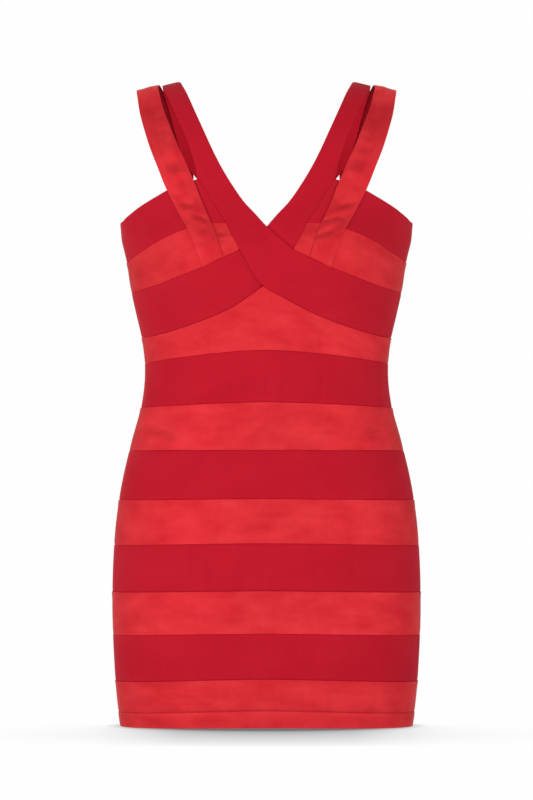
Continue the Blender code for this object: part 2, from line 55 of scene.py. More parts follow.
# lengths are in metres, and only the tables of points and of creases are in millimetres
# the general figure that the cut fills out
figure = {
    "sections": (       # z, half width, depth in front, depth behind
        (0, 185, 107, 93), (-100, 185, 107, 95), (-140, 178, 107.5, 96), (-167.5, 171.4, 109, 98),
        (-184, 169.9, 110.3, 99), (-207, 164.5, 111.5, 99.5), (-243, 158.9, 108, 97), (-270, 153, 104, 92.5),
        (-301, 146, 99.5, 86), (-336, 142.5, 97, 83), (-372, 145.5, 98, 89), (-419, 157.8, 103, 104),
        (-466, 168.9, 108.5, 119), (-512, 176, 112.5, 129), (-559, 179.5, 114.5, 132.5),
        (-606, 180.6, 114, 130), (-677, 178.3, 112, 124), (-724, 174.8, 110.5, 121), (-751, 171.3, 110, 120),
    ),
    "frontFlatness": 0.80,          # 1 is an ellipse, less is flatter
    "backFlatness": 0.85,
    "archFoot": -0.140,             # the chest leans back above this
    "shoulder": 0.0015,             # outer face of the straps on the shoulder
    "slope": 0.24,                  # fall of the shoulder line
    "slopeFrom": 0.105,
    "cup": {"x": 0.085, "z": -0.205, "spread": 0.040, "inward": 0.078, "rise": 0.022},
    "sideSeam": math.radians(78.0),
}
sideSeam = figure["sideSeam"]
back = math.pi


def smoothCurve(keys, values, where):
    slopes = np.gradient(values, keys)
    where = np.clip(where, keys[0], keys[-1])
    row = np.clip(np.searchsorted(keys, where) - 1, 0, len(keys) - 2)
    span = keys[row + 1] - keys[row]
    s = (where - keys[row]) / span
    start = (1 + 2 * s) * (1 - s) ** 2 * values[row] + s * (1 - s) ** 2 * span * slopes[row]
    end = s * s * (3 - 2 * s) * values[row + 1] - s * s * (1 - s) * span * slopes[row + 1]
    return start + end


def smoothStep(s):
    s = np.clip(s, 0.0, 1.0)
    return s * s * (3 - 2 * s)


def figureSize(column, z):
    rows = np.array(figure["sections"][::-1]) / 1000
    return smoothCurve(rows[:, 0], rows[:, column], z)


def riseOf(z):      # distance along the side view: z on the tube, the arc over the shoulder above
    foot = figure["archFoot"]
    z = np.asarray(z, float)
    arc = foot - foot * np.arcsin(np.clip((z - foot) / -foot, 0.0, 1.0))
    return np.where(z <= foot, z, arc)


def skinPoint(turn, rise):
    foot = figure["archFoot"]
    lean = np.maximum(0.0, (rise - foot) / -foot)
    z = np.where(lean == 0.0, rise, foot * (1 - np.sin(lean)))
    x = figureSize(1, z) * np.sin(turn)
    facing = np.cos(turn)
    cup = figure["cup"]
    aside = np.abs(x) - cup["x"]
    aside = aside / np.where(aside > 0.0, cup["spread"], cup["inward"])
    away = (aside**2 + ((z - cup["z"]) / cup["spread"]) ** 2) / 2
    ahead = np.clip(facing, 0.0, 1.0)
    behind = np.clip(-facing, 0.0, 1.0)
    front = -figureSize(2, z) * ahead ** figure["frontFlatness"]
    front = front - cup["rise"] * np.exp(-away) * np.sqrt(ahead)
    y = np.where(facing >= 0.0, front, figureSize(3, z) * behind ** figure["backFlatness"])
    fall = figure["slope"] * np.maximum(0.0, np.abs(x) - figure["slopeFrom"]) * np.sin(lean)
    return np.stack((x, y * np.cos(lean), z + figure["shoulder"] * np.sin(lean) - fall), axis=-1)


def skinNormal(turn, rise):
    step = 1e-4
    across = skinPoint(turn + step, rise) - skinPoint(turn - step, rise)
    up = skinPoint(turn, rise + step) - skinPoint(turn, rise - step)
    normal = np.cross(across, up)
    return normal / np.linalg.norm(normal, axis=-1, keepdims=True)


# paths are rows of turn and rise
perStretch = 12


def tablePath(rows, behind=False):      # a smooth path through points x, z of the front view
    x, z = np.array(rows).T / 1000
    turn = np.arcsin(x / figureSize(1, z))
    places = (back - turn if behind else turn, riseOf(z))
    steps = np.linspace(0, len(x) - 1, (len(x) - 1) * perStretch + 1)
    return np.stack([smoothCurve(np.arange(len(x)), place, steps) for place in places], axis=-1)


def rungPaths(rungs, behind=False):     # the outer and the inner edge of a table of rungs
    return [tablePath(np.array(rungs)[:, k:k + 2], behind) for k in (0, 2)]


def mirrored(path):
    return path * (-1, 1)


def measured(points, axis=0):       # distances walked along one axis of the points
    steps = np.linalg.norm(np.diff(points, axis=axis), axis=-1)
    return np.insert(np.cumsum(steps, axis=axis), 0, 0.0, axis=axis)


def pathLengths(path):
    return measured(skinPoint(*path.T))


def readAt(path, lengths, where):
    return np.stack([np.interp(where, lengths, path[:, k]) for k in (0, 1)], axis=-1)


def pathAt(path, shares):       # the path read at shares of its length
    lengths = pathLengths(path)
    return readAt(path, lengths, np.asarray(shares) * lengths[-1])


def straight(start, end, count=24):
    marks = np.linspace(0.0, 1.0, count + 1)[:, None]
    return start * (1 - marks) + end * marks


# how the meshes are divided and how the edges are turned in
sewing = {
    "wall": 0.0015,
    "spacing": 0.0030,
    "edgeStops": (0.0, 0.00010, 0.00028, 0.00052, 0.00078, 0.0012),
    "dartStops": (0.0, 0.0003, 0.0007, 0.0013),
    "turnReach": 0.00052,
    "mapSteps": (0.731, 0.417),     # each piece's weave starts further on
}


def stops(length, darts=()):        # shares of a length, closer at the ends and at darts
    ends = np.array(sewing["edgeStops"])
    count = 2 * max(1, round((length - 2 * ends[-1]) / sewing["spacing"] / 2))
    middle = np.linspace(ends[-1], length - ends[-1], count + 1)
    near = np.array(sewing["dartStops"])
    for dart in darts:
        centre = dart * length
        middle = middle[np.abs(middle - centre) > near[-1] * 1.5]
        middle = np.concatenate((middle, centre + near, centre - near[1:]))
    return np.concatenate((ends[:-1], np.sort(middle), (length - ends[:-1])[::-1])) / length


def panelGrid(top, bottom, first=None, darts=()):       # between four edges, the last of them straight
    first = straight(top[0], bottom[0]) if first is None else first
    last = straight(top[-1], bottom[-1])
    u = stops(max(pathLengths(top)[-1], pathLengths(bottom)[-1]), darts)
    v = stops(max(pathLengths(first)[-1], pathLengths(last)[-1]))
    top, bottom, first, last = pathAt(top, u), pathAt(bottom, u), pathAt(first, v), pathAt(last, v)
    u, v = u[:, None], v[:, None, None]
    ruled = (1 - v) * top + v * bottom + (1 - u) * first[:, None] + u * last[:, None]
    corners = (1 - u) * ((1 - v) * top[0] + v * bottom[0]) + u * ((1 - v) * top[-1] + v * bottom[-1])
    return ruled - corners


def bandGrid(paths):        # a band with a row of points along each path
    u = stops(max(pathLengths(path)[-1] for path in paths))
    paths = [pathAt(path, u) for path in paths]
    parts = []
    for upper, lower in zip(paths, paths[1:]):
        v = stops(pathLengths(straight(upper[0], lower[0]))[-1])[:, None, None]
        part = (1 - v) * upper + v * lower
        parts.append(part[1:] if parts else part)
    return np.concatenate(parts)


def ribbonGrid(outer, inner, darts=()):     # rows run along the ribbon, the first on its inner edge
    lengths = pathLengths((inner + outer) / 2)
    width = np.linalg.norm(skinPoint(*inner.T) - skinPoint(*outer.T), axis=1).max()
    along = stops(lengths[-1], darts) * lengths[-1]
    across = stops(width)[:, None, None]
    return (1 - across) * readAt(inner, lengths, along) + across * readAt(outer, lengths, along)


def edgeDistances(points):      # how far each point lies from the four edges of its grid
    left, top = measured(points, 1), measured(points, 0)
    return {"left": left, "right": left[:, -1:] - left, "top": top, "bottom": top[-1:] - top}


def turnedIn(distances, drop):      # how far the face goes down where the edge is turned in
    a, b = [
        np.clip(1 - np.minimum(distances[one], distances[other]) / sewing["turnReach"], 0.0, None)
        for one, other in (("left", "right"), ("top", "bottom"))
    ]
    return drop * (1 - np.sqrt(np.clip(1 - a**2 - b**2, 0.0, None)))


def uneven(s, pitch, phase):        # a ripple whose pitch and height wander
    wander = 1.7 * np.sin(s / pitch * 1.31 + phase) + 1.1 * np.sin(s / pitch * 0.53 + 2.1 * phase)
    height = 0.55 + 0.45 * np.sin(s / pitch * 0.71 + 3.7 * phase)
    return np.sin(2 * math.pi * s / pitch + wander) * height


def pieceName(node):
    words = node.split("_")
    return words[0] + "".join(word.title() for word in words[1:])


def added(name, data):      # a new object in the scene
    thing = bpy.data.objects.new(name, data)
    bpy.context.scene.collection.objects.link(thing)
    return thing


def meshFrom(name, points, faces, materials, faceMaterials=None, maps=None):
    mesh = bpy.data.meshes.new(name)
    mesh.from_pydata(np.asarray(points).tolist(), [], [list(face) for face in faces])
    for material in materials:
        mesh.materials.append(material)
    if faceMaterials is not None:
        mesh.polygons.foreach_set("material_index", faceMaterials.astype(np.int32))
    if maps is not None:
        layer = mesh.uv_layers.new(name="cloth")
        loops = np.empty(len(mesh.loops), np.int32)
        mesh.loops.foreach_get("vertex_index", loops)
        layer.data.foreach_set("uv", maps[loops].astype(np.float32).ravel())
    mesh.shade_smooth()
    mesh.update()
    return added(name, mesh)


def attached(piece, node=None, body="dress"):
    if node:
        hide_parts(node)
    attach(piece, body)
    return piece


def twoSided(base, normals, over, under, maps):     # both faces of a cloth, joined along its edge
    rows, columns = over.shape
    index = np.arange(rows * columns).reshape(rows, columns)
    below = index.copy()
    inside = (rows - 2, columns - 2)
    below[1:-1, 1:-1] = np.arange(math.prod(inside)).reshape(inside) + rows * columns
    outer, inner = [base + normals * height[..., None] for height in (over, under)]
    points, maps = [
        np.concatenate((above.reshape(-1, size), beneath[1:-1, 1:-1].reshape(-1, size)))
        for above, beneath, size in ((outer, inner, 3), (maps, maps, 2))
    ]
    corners = [(k[:-1, :-1], k[1:, :-1], k[1:, 1:], k[:-1, 1:]) for k in (index, below)]
    faces = [np.stack(four, axis=-1).reshape(-1, 4) for four in corners]
    row, column = rows // 2, columns // 2
    middle, down, across = outer[row, column], outer[row + 1, column], outer[row, column + 1]
    turned = 0 if np.cross(down - middle, across - middle) @ normals[row, column] < 0 else 1
    faces[turned] = faces[turned][:, ::-1]
    return points, faces, maps


def joined(parts):      # points and faces of several parts as one
    points, faces = [], []
    for partPoints, partFaces in parts:
        start = sum(len(p) for p in points)
        points.append(partPoints)
        faces += [[start + k for k in face] for face in partFaces]
    return np.concatenate(points), faces


# creases: x, z and the run from there in x and z, then height, width and how much steeper the lower side is
creases = {
    "satin_strap_front_right": (
        (-140, -9, 16, -4, 1.35, 5, 1.5), (-137, -24, 15, -3, -0.75, 5, 1),
        (-139, -39, 15, -3, -0.9, 4.5, 1), (-132, -51, 15, 3, 0.68, 4, 1.6),
        (-128, -64, 18, 3, -0.6, 3.5, 1.4), (-122, -77, 16, -9, 0.35, 4.5, 1.5),
        (-120, -98, 21, -3, -1.05, 7, 1), (-110, -117, 19, 8, 1.2, 6, 1.4),
        (-108, -134, 9, -6, -0.68, 3.5, 1.2), (-80, -130, -9, -9, 0.52, 3.5, 1.3),
        (-100, -146, 16, -4, -1.5, 3.8, 1.5), (-97, -156, 13, 0, 0.75, 3.6, 1.2),
        (-84, -161, 17, -7, -1.35, 2, 2), (-86, -166, 16, -6, 0.75, 3.2, 1.4),
        (-94, -165, 7, -3, -0.75, 2.4, 1.2), (-77, -181, 10, 4, -0.52, 2.2, 1.4),
        (-80, -190, 10, -6, -0.52, 3, 1.2),
    ),
    "satin_strap_front_left": (
        (124, -12, 17, 4, 1.2, 5, 1.5), (122, -20, 15, -2, -0.9, 5, 1), (114, -46, 17, 8, -0.75, 5, 1.2),
        (109, -59, 10, -6, 0.75, 4, 1.4), (103, -79, 19, -5, -0.9, 5, 1), (97, -93, 19, -6, -0.75, 5.5, 1),
        (92, -106, 21, -12, 1.35, 6.5, 1.4), (99, -125, 8, -6, -0.6, 3.5, 1.2),
        (83, -151, 18, 6, -1.35, 4.2, 1.5), (80, -158, 17, 4, 0.75, 3.6, 1.2),
        (64, -170, 20, 7.5, -1.35, 2, 2), (66, -175, 20, 7, 0.75, 3.2, 1.4),
        (82, -164, 11, -3, -0.75, 2.8, 1.2), (54, -187, 22, 8, -1.2, 2.8, 1.6),
        (58, -192, 20, 7, 0.6, 3.4, 1.3), (79, -186, 8, 6, -0.45, 2.4, 1.2),
        (66, -202, 10, 5, -0.45, 2.6, 1.2),
    ),
    "satin_strap_back_left": (
        (126, -14, 20, 4, 1.12, 5, 1.5), (120, -33, 20, 5, -0.7, 5, 1.2), (112, -58, 22, 9, -0.84, 5, 1.4),
        (104, -84, 18, 6, 0.7, 5.5, 1.2), (96, -109, 20, 11, -0.7, 4.5, 1.3),
        (90, -128, 17, 4, 0.56, 4, 1.2),
    ),
    "satin_strap_back_right": (
        (-144, -9, 20, -5, 1.12, 5, 1.5), (-142, -42, 20, 5, -0.84, 5.5, 1.2),
        (-130, -67, 20, -6, 0.7, 5, 1.3), (-124, -92, 20, 4, -0.7, 4.5, 1.2),
        (-110, -119, 18, -7, -0.56, 4, 1.3), (-106, -141, 18, 4, 0.56, 4, 1.2),
    ),
    "bust_satin_front_right": (
        (-89, -184, 14.5, -38, -0.7, 1.5, 1), (-56.5, -183.7, 13.5, 1.9, -1.35, 1.6, 2),
        (-58, -186.5, 16, 1.5, 0.47, 2.4, 1.2), (-174, -210, 28, -14, -0.81, 5, 1.2),
        (-124, -217, -2, -17, -0.61, 0.9, 1), (-121, -221, -1.5, -12, -0.41, 0.9, 1),
        (-140, -210, 3, -22, -0.34, 4, 1), (-108, -200, 4, -16, 0.3, 5, 1),
        (-45, -192, 7, -7, -0.41, 1.6, 1), (-38, -190, 3, -7, -0.34, 1.3, 1),
    ),
    "bust_satin_front_left": (
        (89, -184, -14.5, -38, -0.7, 1.5, 1), (131, -193, 23, -17, -1.08, 4, 1.6),
        (126, -202, 22, -17, 0.68, 6, 1.2), (112.6, -223, 1.4, -12, -0.54, 0.9, 1),
        (44, -187, 8, -12, -0.34, 2.4, 1), (96, -195, 5, -18, 0.34, 5, 1),
    ),
    "top_crepe_front_right": (
        (-58.5, -171, 6, 11, -0.25, 1.2, 1), (-128, -158, 10, -18, 0.25, 7, 1),
        (-152, -170, 14, -20, -0.22, 5, 1),
    ),
    "top_crepe_front_left": (
        (120, -160, 12, -18, 0.25, 8, 1), (148, -172, 8, -24, -0.3, 5, 1),
    ),
    "crossover_left": (
        (-66.6, -232, 1.2, -33, -0.3, 1.2, 1), (-59, -240, -1, -22, -0.14, 1.4, 1),
        (-118, -247, 4, -39, -0.16, 4, 1), (-140, -250, 3, -40, 0.2, 5, 1), (44, -185, 18, 25, -0.18, 4, 1),
    ),
    "crossover_right": (
        (64.6, -229, -1.2, -33, -0.26, 1.2, 1), (70, -236, 0.5, -22, -0.12, 1.4, 1),
        (116, -248, 4, -36, -0.18, 4.5, 1), (138, -252, 3, -36, 0.2, 5, 1),
        (-68, -118, 16, -22, -0.18, 5, 1),
    ),
    "underbust_satin_front": (
        (-67, -262, 0.4, -72, -0.69, 0.8, 1), (-40, -255, 0, -75, -0.45, 0.8, 1),
        (32, -250, -0.4, -80, -0.41, 0.8, 1), (62.2, -262, -0.2, -72, -0.69, 0.8, 1),
        (-130, -311, 34, 10, -0.54, 5, 1.3), (-104, -322, 22, 12, 0.41, 5, 1.3),
        (-22, -300, 30, -9, -0.3, 5, 1.2), (-34, -312, 32, -5, 0.34, 3.5, 1.4),
        (84, -306, 34, -16, -0.47, 5.5, 1.2), (14, -262, 16, -12, -0.24, 4, 1.2),
    ),
    "waist_satin_front": (
        (-148, -419, 50, -10, 1.49, 13, 2), (-133, -402, 27, -8, -0.68, 6, 1.2),
        (108, -424, 44, -4, 1.22, 13, 1.8), (118, -398, 10, -10, -0.68, 6, 1.2),
        (-62, -384, 4, -40, 0.27, 4, 1), (-20, -388, -6, -32, 0.24, 4.5, 1),
        (42, -386, -4, -38, -0.27, 3.5, 1), (74, -384, 4, -36, 0.27, 5, 1),
    ),
    "waist_crepe_front": (
        (-134, -338, 34, -8, -0.3, 6, 1.2), (96, -344, 38, 6, -0.35, 7, 1.2),
        (-112, -372, 28, 6, 0.22, 6, 1.2),
    ),
    "high_hip_satin_front": (
        (-84, -531, 162, 2, 1, 24, 2.6), (27, -512, 19, 4, 0.45, 1.6, 1.3),
        (48, -521, 6, -19, -0.35, 1.8, 1.2), (-70, -520, 36, -7, -0.3, 3, 1.3),
        (-18, -524, 38, 4, -0.22, 3, 1.3), (-118, -494, 6, -38, 0.25, 7, 1), (106, -496, 6, -38, 0.25, 7, 1),
        (84, -504, 14, -22, -0.3, 4, 1.2),
    ),
    "hip_satin_front": (
        (-118, -622, 106, 1, 0.75, 17, 2), (4, -620, 100, -2, 0.7, 17, 2),
        (-60, -603, 16, -13, -0.28, 3.5, 1.2), (16, -606, 24, -6, -0.28, 4, 1.2),
        (120, -600, 6, -36, 0.22, 6, 1), (-150, -604, 4, -32, -0.25, 5, 1),
    ),
    "hem_satin_front": (
        (-160, -700, 2, -30, -1.22, 4, 1.3), (-150, -702, 20, -6, -0.81, 5, 1.4),
        (-152, -712, 26, -4, 0.61, 5, 1.3), (136, -706, 24, -3, -0.81, 5.5, 1.4),
        (150, -712, 20, -12, 0.81, 6, 1.4), (-72, -698, 12, -5, -0.47, 2.4, 1.2),
        (84, -700, 12, -16, -0.3, 4, 1.2), (-28, -702, 6, -22, 0.24, 5, 1),
        (-148, -742, 28, 3, 0.41, 3, 1.4), (30, -741, 36, -3, 0.34, 3, 1.3),
        (120, -744, 40, 4, -0.47, 3.2, 1.3),
    ),
    "high_hip_crepe_front": (
        (118, -438, 30, -14, -0.3, 8, 1.2), (-150, -446, 14, -34, 0.2, 7, 1),
    ),
    "thigh_crepe_front": (
        (138, -654, 20, -30, -0.25, 8, 1.2), (10, -664, 20, -4, -0.15, 4, 1.2),
    ),
    "waist_crepe_back_left": (
        (10, -336, 82, -12, -0.8, 7, 1.5), (24, -352, 84, -8, 0.7, 8, 1.6), (60, -368, 58, -6, -0.5, 6, 1.3),
    ),
    "waist_crepe_back_right": (
        (-102, -343, 88, 9, -0.7, 7, 1.5), (-112, -358, 76, 7, 0.7, 8, 1.6),
        (-96, -374, 52, 6, -0.5, 6, 1.3),
    ),
    "waist_satin_back_left": (
        (6, -392, 78, -10, 0.8, 9, 1.6), (70, -388, 56, -10, -0.6, 7, 1.3), (96, -412, 36, -12, 0.5, 7, 1.4),
        (20, -414, 32, -6, -0.4, 5, 1.3),
    ),
    "waist_satin_back_right": (
        (-92, -400, 76, 10, 0.8, 9, 1.6), (-130, -396, 46, 8, -0.6, 7, 1.3),
        (-120, -420, 50, 8, 0.5, 7, 1.4),
    ),
    "underbust_satin_back_left": (
        (12, -304, 50, -8, -0.6, 5, 1.3), (48, -318, 56, -4, 0.5, 5, 1.4), (96, -304, 32, -8, -0.4, 5, 1.2),
    ),
    "underbust_satin_back_right": (
        (-70, -314, 52, 10, -0.6, 5, 1.3), (-116, -322, 56, 4, 0.5, 5, 1.4),
    ),
    "high_hip_satin_back_left": (
        (14, -534, 114, 4, 0.7, 20, 2.2), (52, -500, 8, -28, -0.3, 5, 1), (104, -498, 16, -22, 0.3, 7, 1.2),
    ),
    "high_hip_satin_back_right": (
        (-124, -531, 112, -2, 0.7, 20, 2.2), (-88, -502, 10, -22, -0.3, 5, 1),
        (-36, -510, 16, -4, 0.4, 3, 1.3),
    ),
    "hip_satin_back_left": (
        (20, -622, 100, -2, 0.6, 15, 1.8), (66, -602, 20, -10, -0.3, 4, 1.2),
    ),
    "hip_satin_back_right": (
        (-130, -623, 106, 2, 0.6, 15, 1.8), (-62, -604, 22, -8, -0.3, 4, 1.2),
    ),
    "hem_satin_back_left": (
        (30, -704, 4, -28, -0.5, 5, 1.2), (92, -704, 36, -8, -0.5, 5, 1.4), (98, -716, 36, -6, 0.5, 6, 1.3),
        (60, -742, 36, 2, 0.3, 3, 1.3),
    ),
    "hem_satin_back_right": (
        (-84, -702, 4, -28, -0.5, 5, 1.2), (-140, -706, 28, -8, -0.5, 5.5, 1.4),
        (-44, -714, 32, -4, 0.4, 5, 1.3), (-110, -744, 40, 3, 0.3, 3, 1.3),
    ),
    "bust_satin_back_left": (
        (96, -222, 44, -16, -0.5, 6, 1.3), (16, -236, 42, 8, 0.4, 6, 1.3),
    ),
    "bust_satin_back_right": (
        (-142, -236, 42, 16, -0.5, 6, 1.3), (-60, -238, 40, 7, 0.4, 6, 1.3),
    ),
}

# how each cloth takes its seams: heights and lengths in metres
seamRelief = {
    "satin": {
        "edge": 0.00015,            # it stands this much proud at a seam
        "allowance": 0.0090,        # the turned edge under it, which tips the face down a little
        "tip": 0.00040,
        "pucker": 0.00026,
        "pitch": 0.0088,
        "swell": 0.00010,           # upright waves between the seams
        "swellPitch": 0.0240,
    },
    "crepe": {
        "edge": -0.00055,           # it dips here, under the satin's edge
        "allowance": 0.0085,
        "tip": 0.00008,
        "pucker": 0.00003,
        "pitch": 0.0125,
        "swell": 0.00004,
        "swellPitch": 0.0330,
    },
    "edgeReach": 0.0011,
    "puckerReach": 0.0030,
    "phases": (1.37, 2.6),          # between pieces, and from a piece's top seam to its bottom seam
}
hem = {
    "stitching": (-0.7358, -0.7290),        # its height at the side seam and in the middle of the front
    "doubled": 0.00050,
    "ramp": 0.0018,
    "groove": 0.00075,
    "grooveWidth": 0.0010,
    "stitchProud": 0.00012,
}
seamShape = {
    "bow": 1.5,                         # how the front's seams fall towards the sides
    "backReach": math.radians(24.0),    # behind the side seam, to reach the back's level
}


def bowed(turns, side, middle):     # heights along a seam of the front
    share = (np.abs(np.sin(turns)) / math.sin(sideSeam)) ** seamShape["bow"]
    return middle + (side - middle) * share


def hemLine(turns):
    return np.where(np.abs(turns) < sideSeam, bowed(turns, *hem["stitching"]), hem["stitching"][0])


def creased(points, rows):
    spot = points[..., (0, 2)] * 1000
    total = np.zeros(spot.shape[:-1])
    for x, z, dx, dz, height, width, steeper in rows:
        length = math.hypot(dx, dz)
        away = spot - (x, z)
        across = away @ (-dz, dx) / math.copysign(length, dx)       # above is positive
        past = np.clip(np.abs(away @ (dx, dz) / length**2 - 0.5) * 2 - 0.5, 0.0, None)
        widths = np.where(across > 0, width, width / steeper)
        total += height * np.exp(-(across / widths) ** 2 - past**2 / 0.16)
    return total / 1000


def reliefOf(node, grid, points, distances):
    take = seamRelief["satin" if "satin" in node else "crepe"]
    pieceStep, seamStep = seamRelief["phases"]
    phase = len(made) * pieceStep
    along, top, bottom = distances["left"], distances["top"], distances["bottom"]
    middle = np.sin(math.pi * np.clip(top / top[-1:], 0.0, 1.0)) ** 2
    total = creased(points, creases.get(node, ()))
    total += take["swell"] * middle * uneven(along, take["swellPitch"], phase)
    if "strap" in node:
        return total
    edge = take["edge"] * (0.5 if node.startswith(("crossover", "top")) else 1.0)
    for k, gap in enumerate((top, bottom)):
        total += edge * np.exp(-(gap / seamRelief["edgeReach"]) ** 2)
        share = gap / seamRelief["puckerReach"]
        bulge = share * np.exp(1 - share)
        total += take["pucker"] * bulge * uneven(along, take["pitch"], phase + seamStep * k)
    total += take["tip"] * (1 - smoothStep(top / take["allowance"]))
    total -= take["tip"] * (1 - smoothStep(bottom / take["allowance"]))
    if node.startswith("hem"):      # the hem is doubled below its stitching
        above = points[..., 2] - hemLine(grid[..., 0])
        total += hem["doubled"] * (1 - smoothStep(above / hem["ramp"] + 0.5))
        total -= hem["groove"] * np.exp(-(above / hem["grooveWidth"]) ** 2)
    return total


made = {}


def makeCloth(node, grid, hangsFrom, lift=None, wall=sewing["wall"]):
    skin = grid[..., 0], grid[..., 1]
    base = skinPoint(*skin)
    distances = edgeDistances(base)
    out = reliefOf(node, grid, base, distances)
    if lift:
        out = out + lift(base, distances)
    drop = turnedIn(distances, wall / 2)
    maps = np.stack((distances["left"], distances["bottom"]), axis=-1)
    maps = maps + len(made) * np.array(sewing["mapSteps"])
    points, faces, maps = twoSided(base, skinNormal(*skin), out - drop, out - wall + drop, maps)
    kind = "satin" if "satin" in node else "crepe"
    # the reverse face is painted lighter inside the dress, and painted darker as shade under the satin straps
    both = [finishes[kind], finishes["strapShadedReverse" if "satin_strap" in node else kind + "Reverse"]]
    faceSide = np.repeat((0, 1), [len(quads) for quads in faces])
    piece = meshFrom(pieceName(node), points, np.concatenate(faces), both, faceSide, maps)
    flat = (round(distances["left"][:, -1].max(), 3), round(distances["top"][-1].max(), 3))
    sides = np.cross(base[1:, 1:] - base[:-1, :-1], base[:-1, 1:] - base[1:, :-1])
    area = np.linalg.norm(sides, axis=-1).sum() / 2
    made[node] = {"piece": attached(piece, node), "flat": flat, "area": area, "from": hangsFrom}


def feed(tree, node, inputs):       # each input takes a value, or the socket that it is linked to
    for name, value in inputs.items():
        if isinstance(value, bpy.types.NodeSocket):
            tree.links.new(value, node.inputs[name])
        else:
            node.inputs[name].default_value = value


def addNode(tree, kind, inputs=(), **settings):
    node = tree.nodes.new("ShaderNode" + kind)
    for name, value in settings.items():
        setattr(node, name, value)
    feed(tree, node, dict(inputs))
    return node


def newMaterial(name):
    material = bpy.data.materials.new(name)
    material.use_nodes = True
    return material, material.node_tree, material.node_tree.nodes["Principled BSDF"]


def noiseFrom(tree, over, scale, detail, roughness=0.5):
    if over == "cloth":     # metres along and down the piece
        source = addNode(tree, "UVMap", uv_map="cloth").outputs["UV"]
    else:
        source = addNode(tree, "TexCoord").outputs["Object"]
    stretched = addNode(tree, "Mapping", {"Scale": scale, "Vector": source}).outputs["Vector"]
    inputs = {"Scale": 1.0, "Detail": detail, "Roughness": roughness, "Vector": stretched}
    return addNode(tree, "TexNoise", inputs).outputs["Fac"]


def spread(tree, value, low, high, fromLow=0.3, fromHigh=0.7):
    inputs = {"From Min": fromLow, "From Max": fromHigh, "To Min": low, "To Max": high, "Value": value}
    return addNode(tree, "MapRange", inputs).outputs["Result"]


# the last factor scales both colours: above 1 it paints light, below 1 it paints shade
def mixedColour(tree, fac, first, second, paintedLightScale=1.0):
    first, second = [(*[c * paintedLightScale for c in colour], 1.0) for colour in (first, second)]
    return addNode(tree, "Mix", {"Factor": fac, "A": first, "B": second}, data_type="RGBA").outputs["Result"]


def bumped(tree, layers):       # heights and what they come to, one over another
    normal = {}
    for height, distance in layers:
        bump = addNode(tree, "Bump", {"Strength": 1.0, "Distance": distance, "Height": height, **normal})
        normal = {"Normal": bump.outputs["Normal"]}
    return normal["Normal"]


def worked(tree, operation, *values):       # one step of arithmetic
    return addNode(tree, "Math", enumerate(values), operation=operation).outputs["Value"]


# of noise: cycles in a metre along, down and through the cloth, detail, roughness
crepeFinish = {
    "colour": (0.530, 0.0078, 0.0225),
    "deeper": (0.490, 0.0066, 0.0200),
    "noise": {
        "patch": ((16.0, 22.0, 16.0), 3.0),     # the dye's unevenness
        "upright": ((230.0, 9.0, 230.0), 2.0),      # faint lines down the bands
        "pebble": ((1500.0, 1900.0, 1500.0), 2.0, 0.6),     # the crepe's fine grain
        "slub": ((70.0, 1300.0, 70.0), 1.0),        # threads that run across
    },
    "clouds": {"patch": 0.6, "upright": 0.4},
    "contrast": (0.35, 0.65),
    "gloss": "patch",
    "roughness": (0.72, 0.86),
    "heights": {"pebble": 0.00007, "slub": 0.00002},
    "shader": {
        "Specular IOR Level": 0.12, "Sheen Weight": 0.06, "Sheen Roughness": 0.40,
        "Sheen Tint": (1.0, 0.62, 0.60, 1.0),
    },
}
# the satin's colour runs in clouds between colour and deeper: painted sheen, the bright and dark gloss of
# satin put into its colour
satinFinishAndPaintedSheen = {
    "colour": (0.930, 0.0430, 0.0550),
    "deeper": (0.775, 0.0210, 0.0330),
    "noise": {
        "patch": ((24.0, 44.0, 24.0), 4.0),     # soft unevenness of the surface, and the broad clouds of the painted sheen
        "streak": ((14.0, 110.0, 14.0), 2.0),       # painted sheen in cloudy lines along the bands
        "upright": ((120.0, 10.0, 120.0), 2.0),     # painted sheen across them
        "ripple": ((130.0, 75.0, 130.0), 2.0),      # smaller dents of the gloss
        "thread": ((110.0, 2600.0, 110.0), 1.0),        # floats of the weave, across the piece
    },
    "clouds": {"patch": 0.74, "streak": 0.17, "upright": 0.09},
    "contrast": (0.34, 0.66),
    "gloss": "ripple",
    "roughness": (0.32, 0.44),
    "heights": {"patch": 0.0010, "ripple": 0.00030, "thread": 0.000018},
    "shader": {"Metallic": 0.60, "Specular IOR Level": 0.30, "Specular Tint": (1.0, 0.50, 0.45, 1.0)},
}


zipTapeFinish = {
    "colour": (0.420, 0.0090, 0.0200),
    "deeper": (0.340, 0.0070, 0.0160),
    "noise": {"weave": ((900.0, 1500.0, 900.0), 2.0)},
    "clouds": {"weave": 1.0},
    "contrast": (0.3, 0.7),
    "heights": {"weave": 0.0001},
    "shader": {"Roughness": 0.8},
}
zipMetalFinish = {      # lacquered metal, a little rubbed
    "over": "metal",
    "colour": (0.480, 0.0120, 0.0220),
    "deeper": (0.560, 0.0400, 0.0480),
    "noise": {"wear": ((420.0, 420.0, 420.0), 3.0)},
    "clouds": {"wear": 1.0},
    "contrast": (0.3, 0.7),
    "gloss": "wear",
    "roughness": (0.30, 0.46),
    "shader": {"Metallic": 0.60, "Coat Weight": 0.3},
}


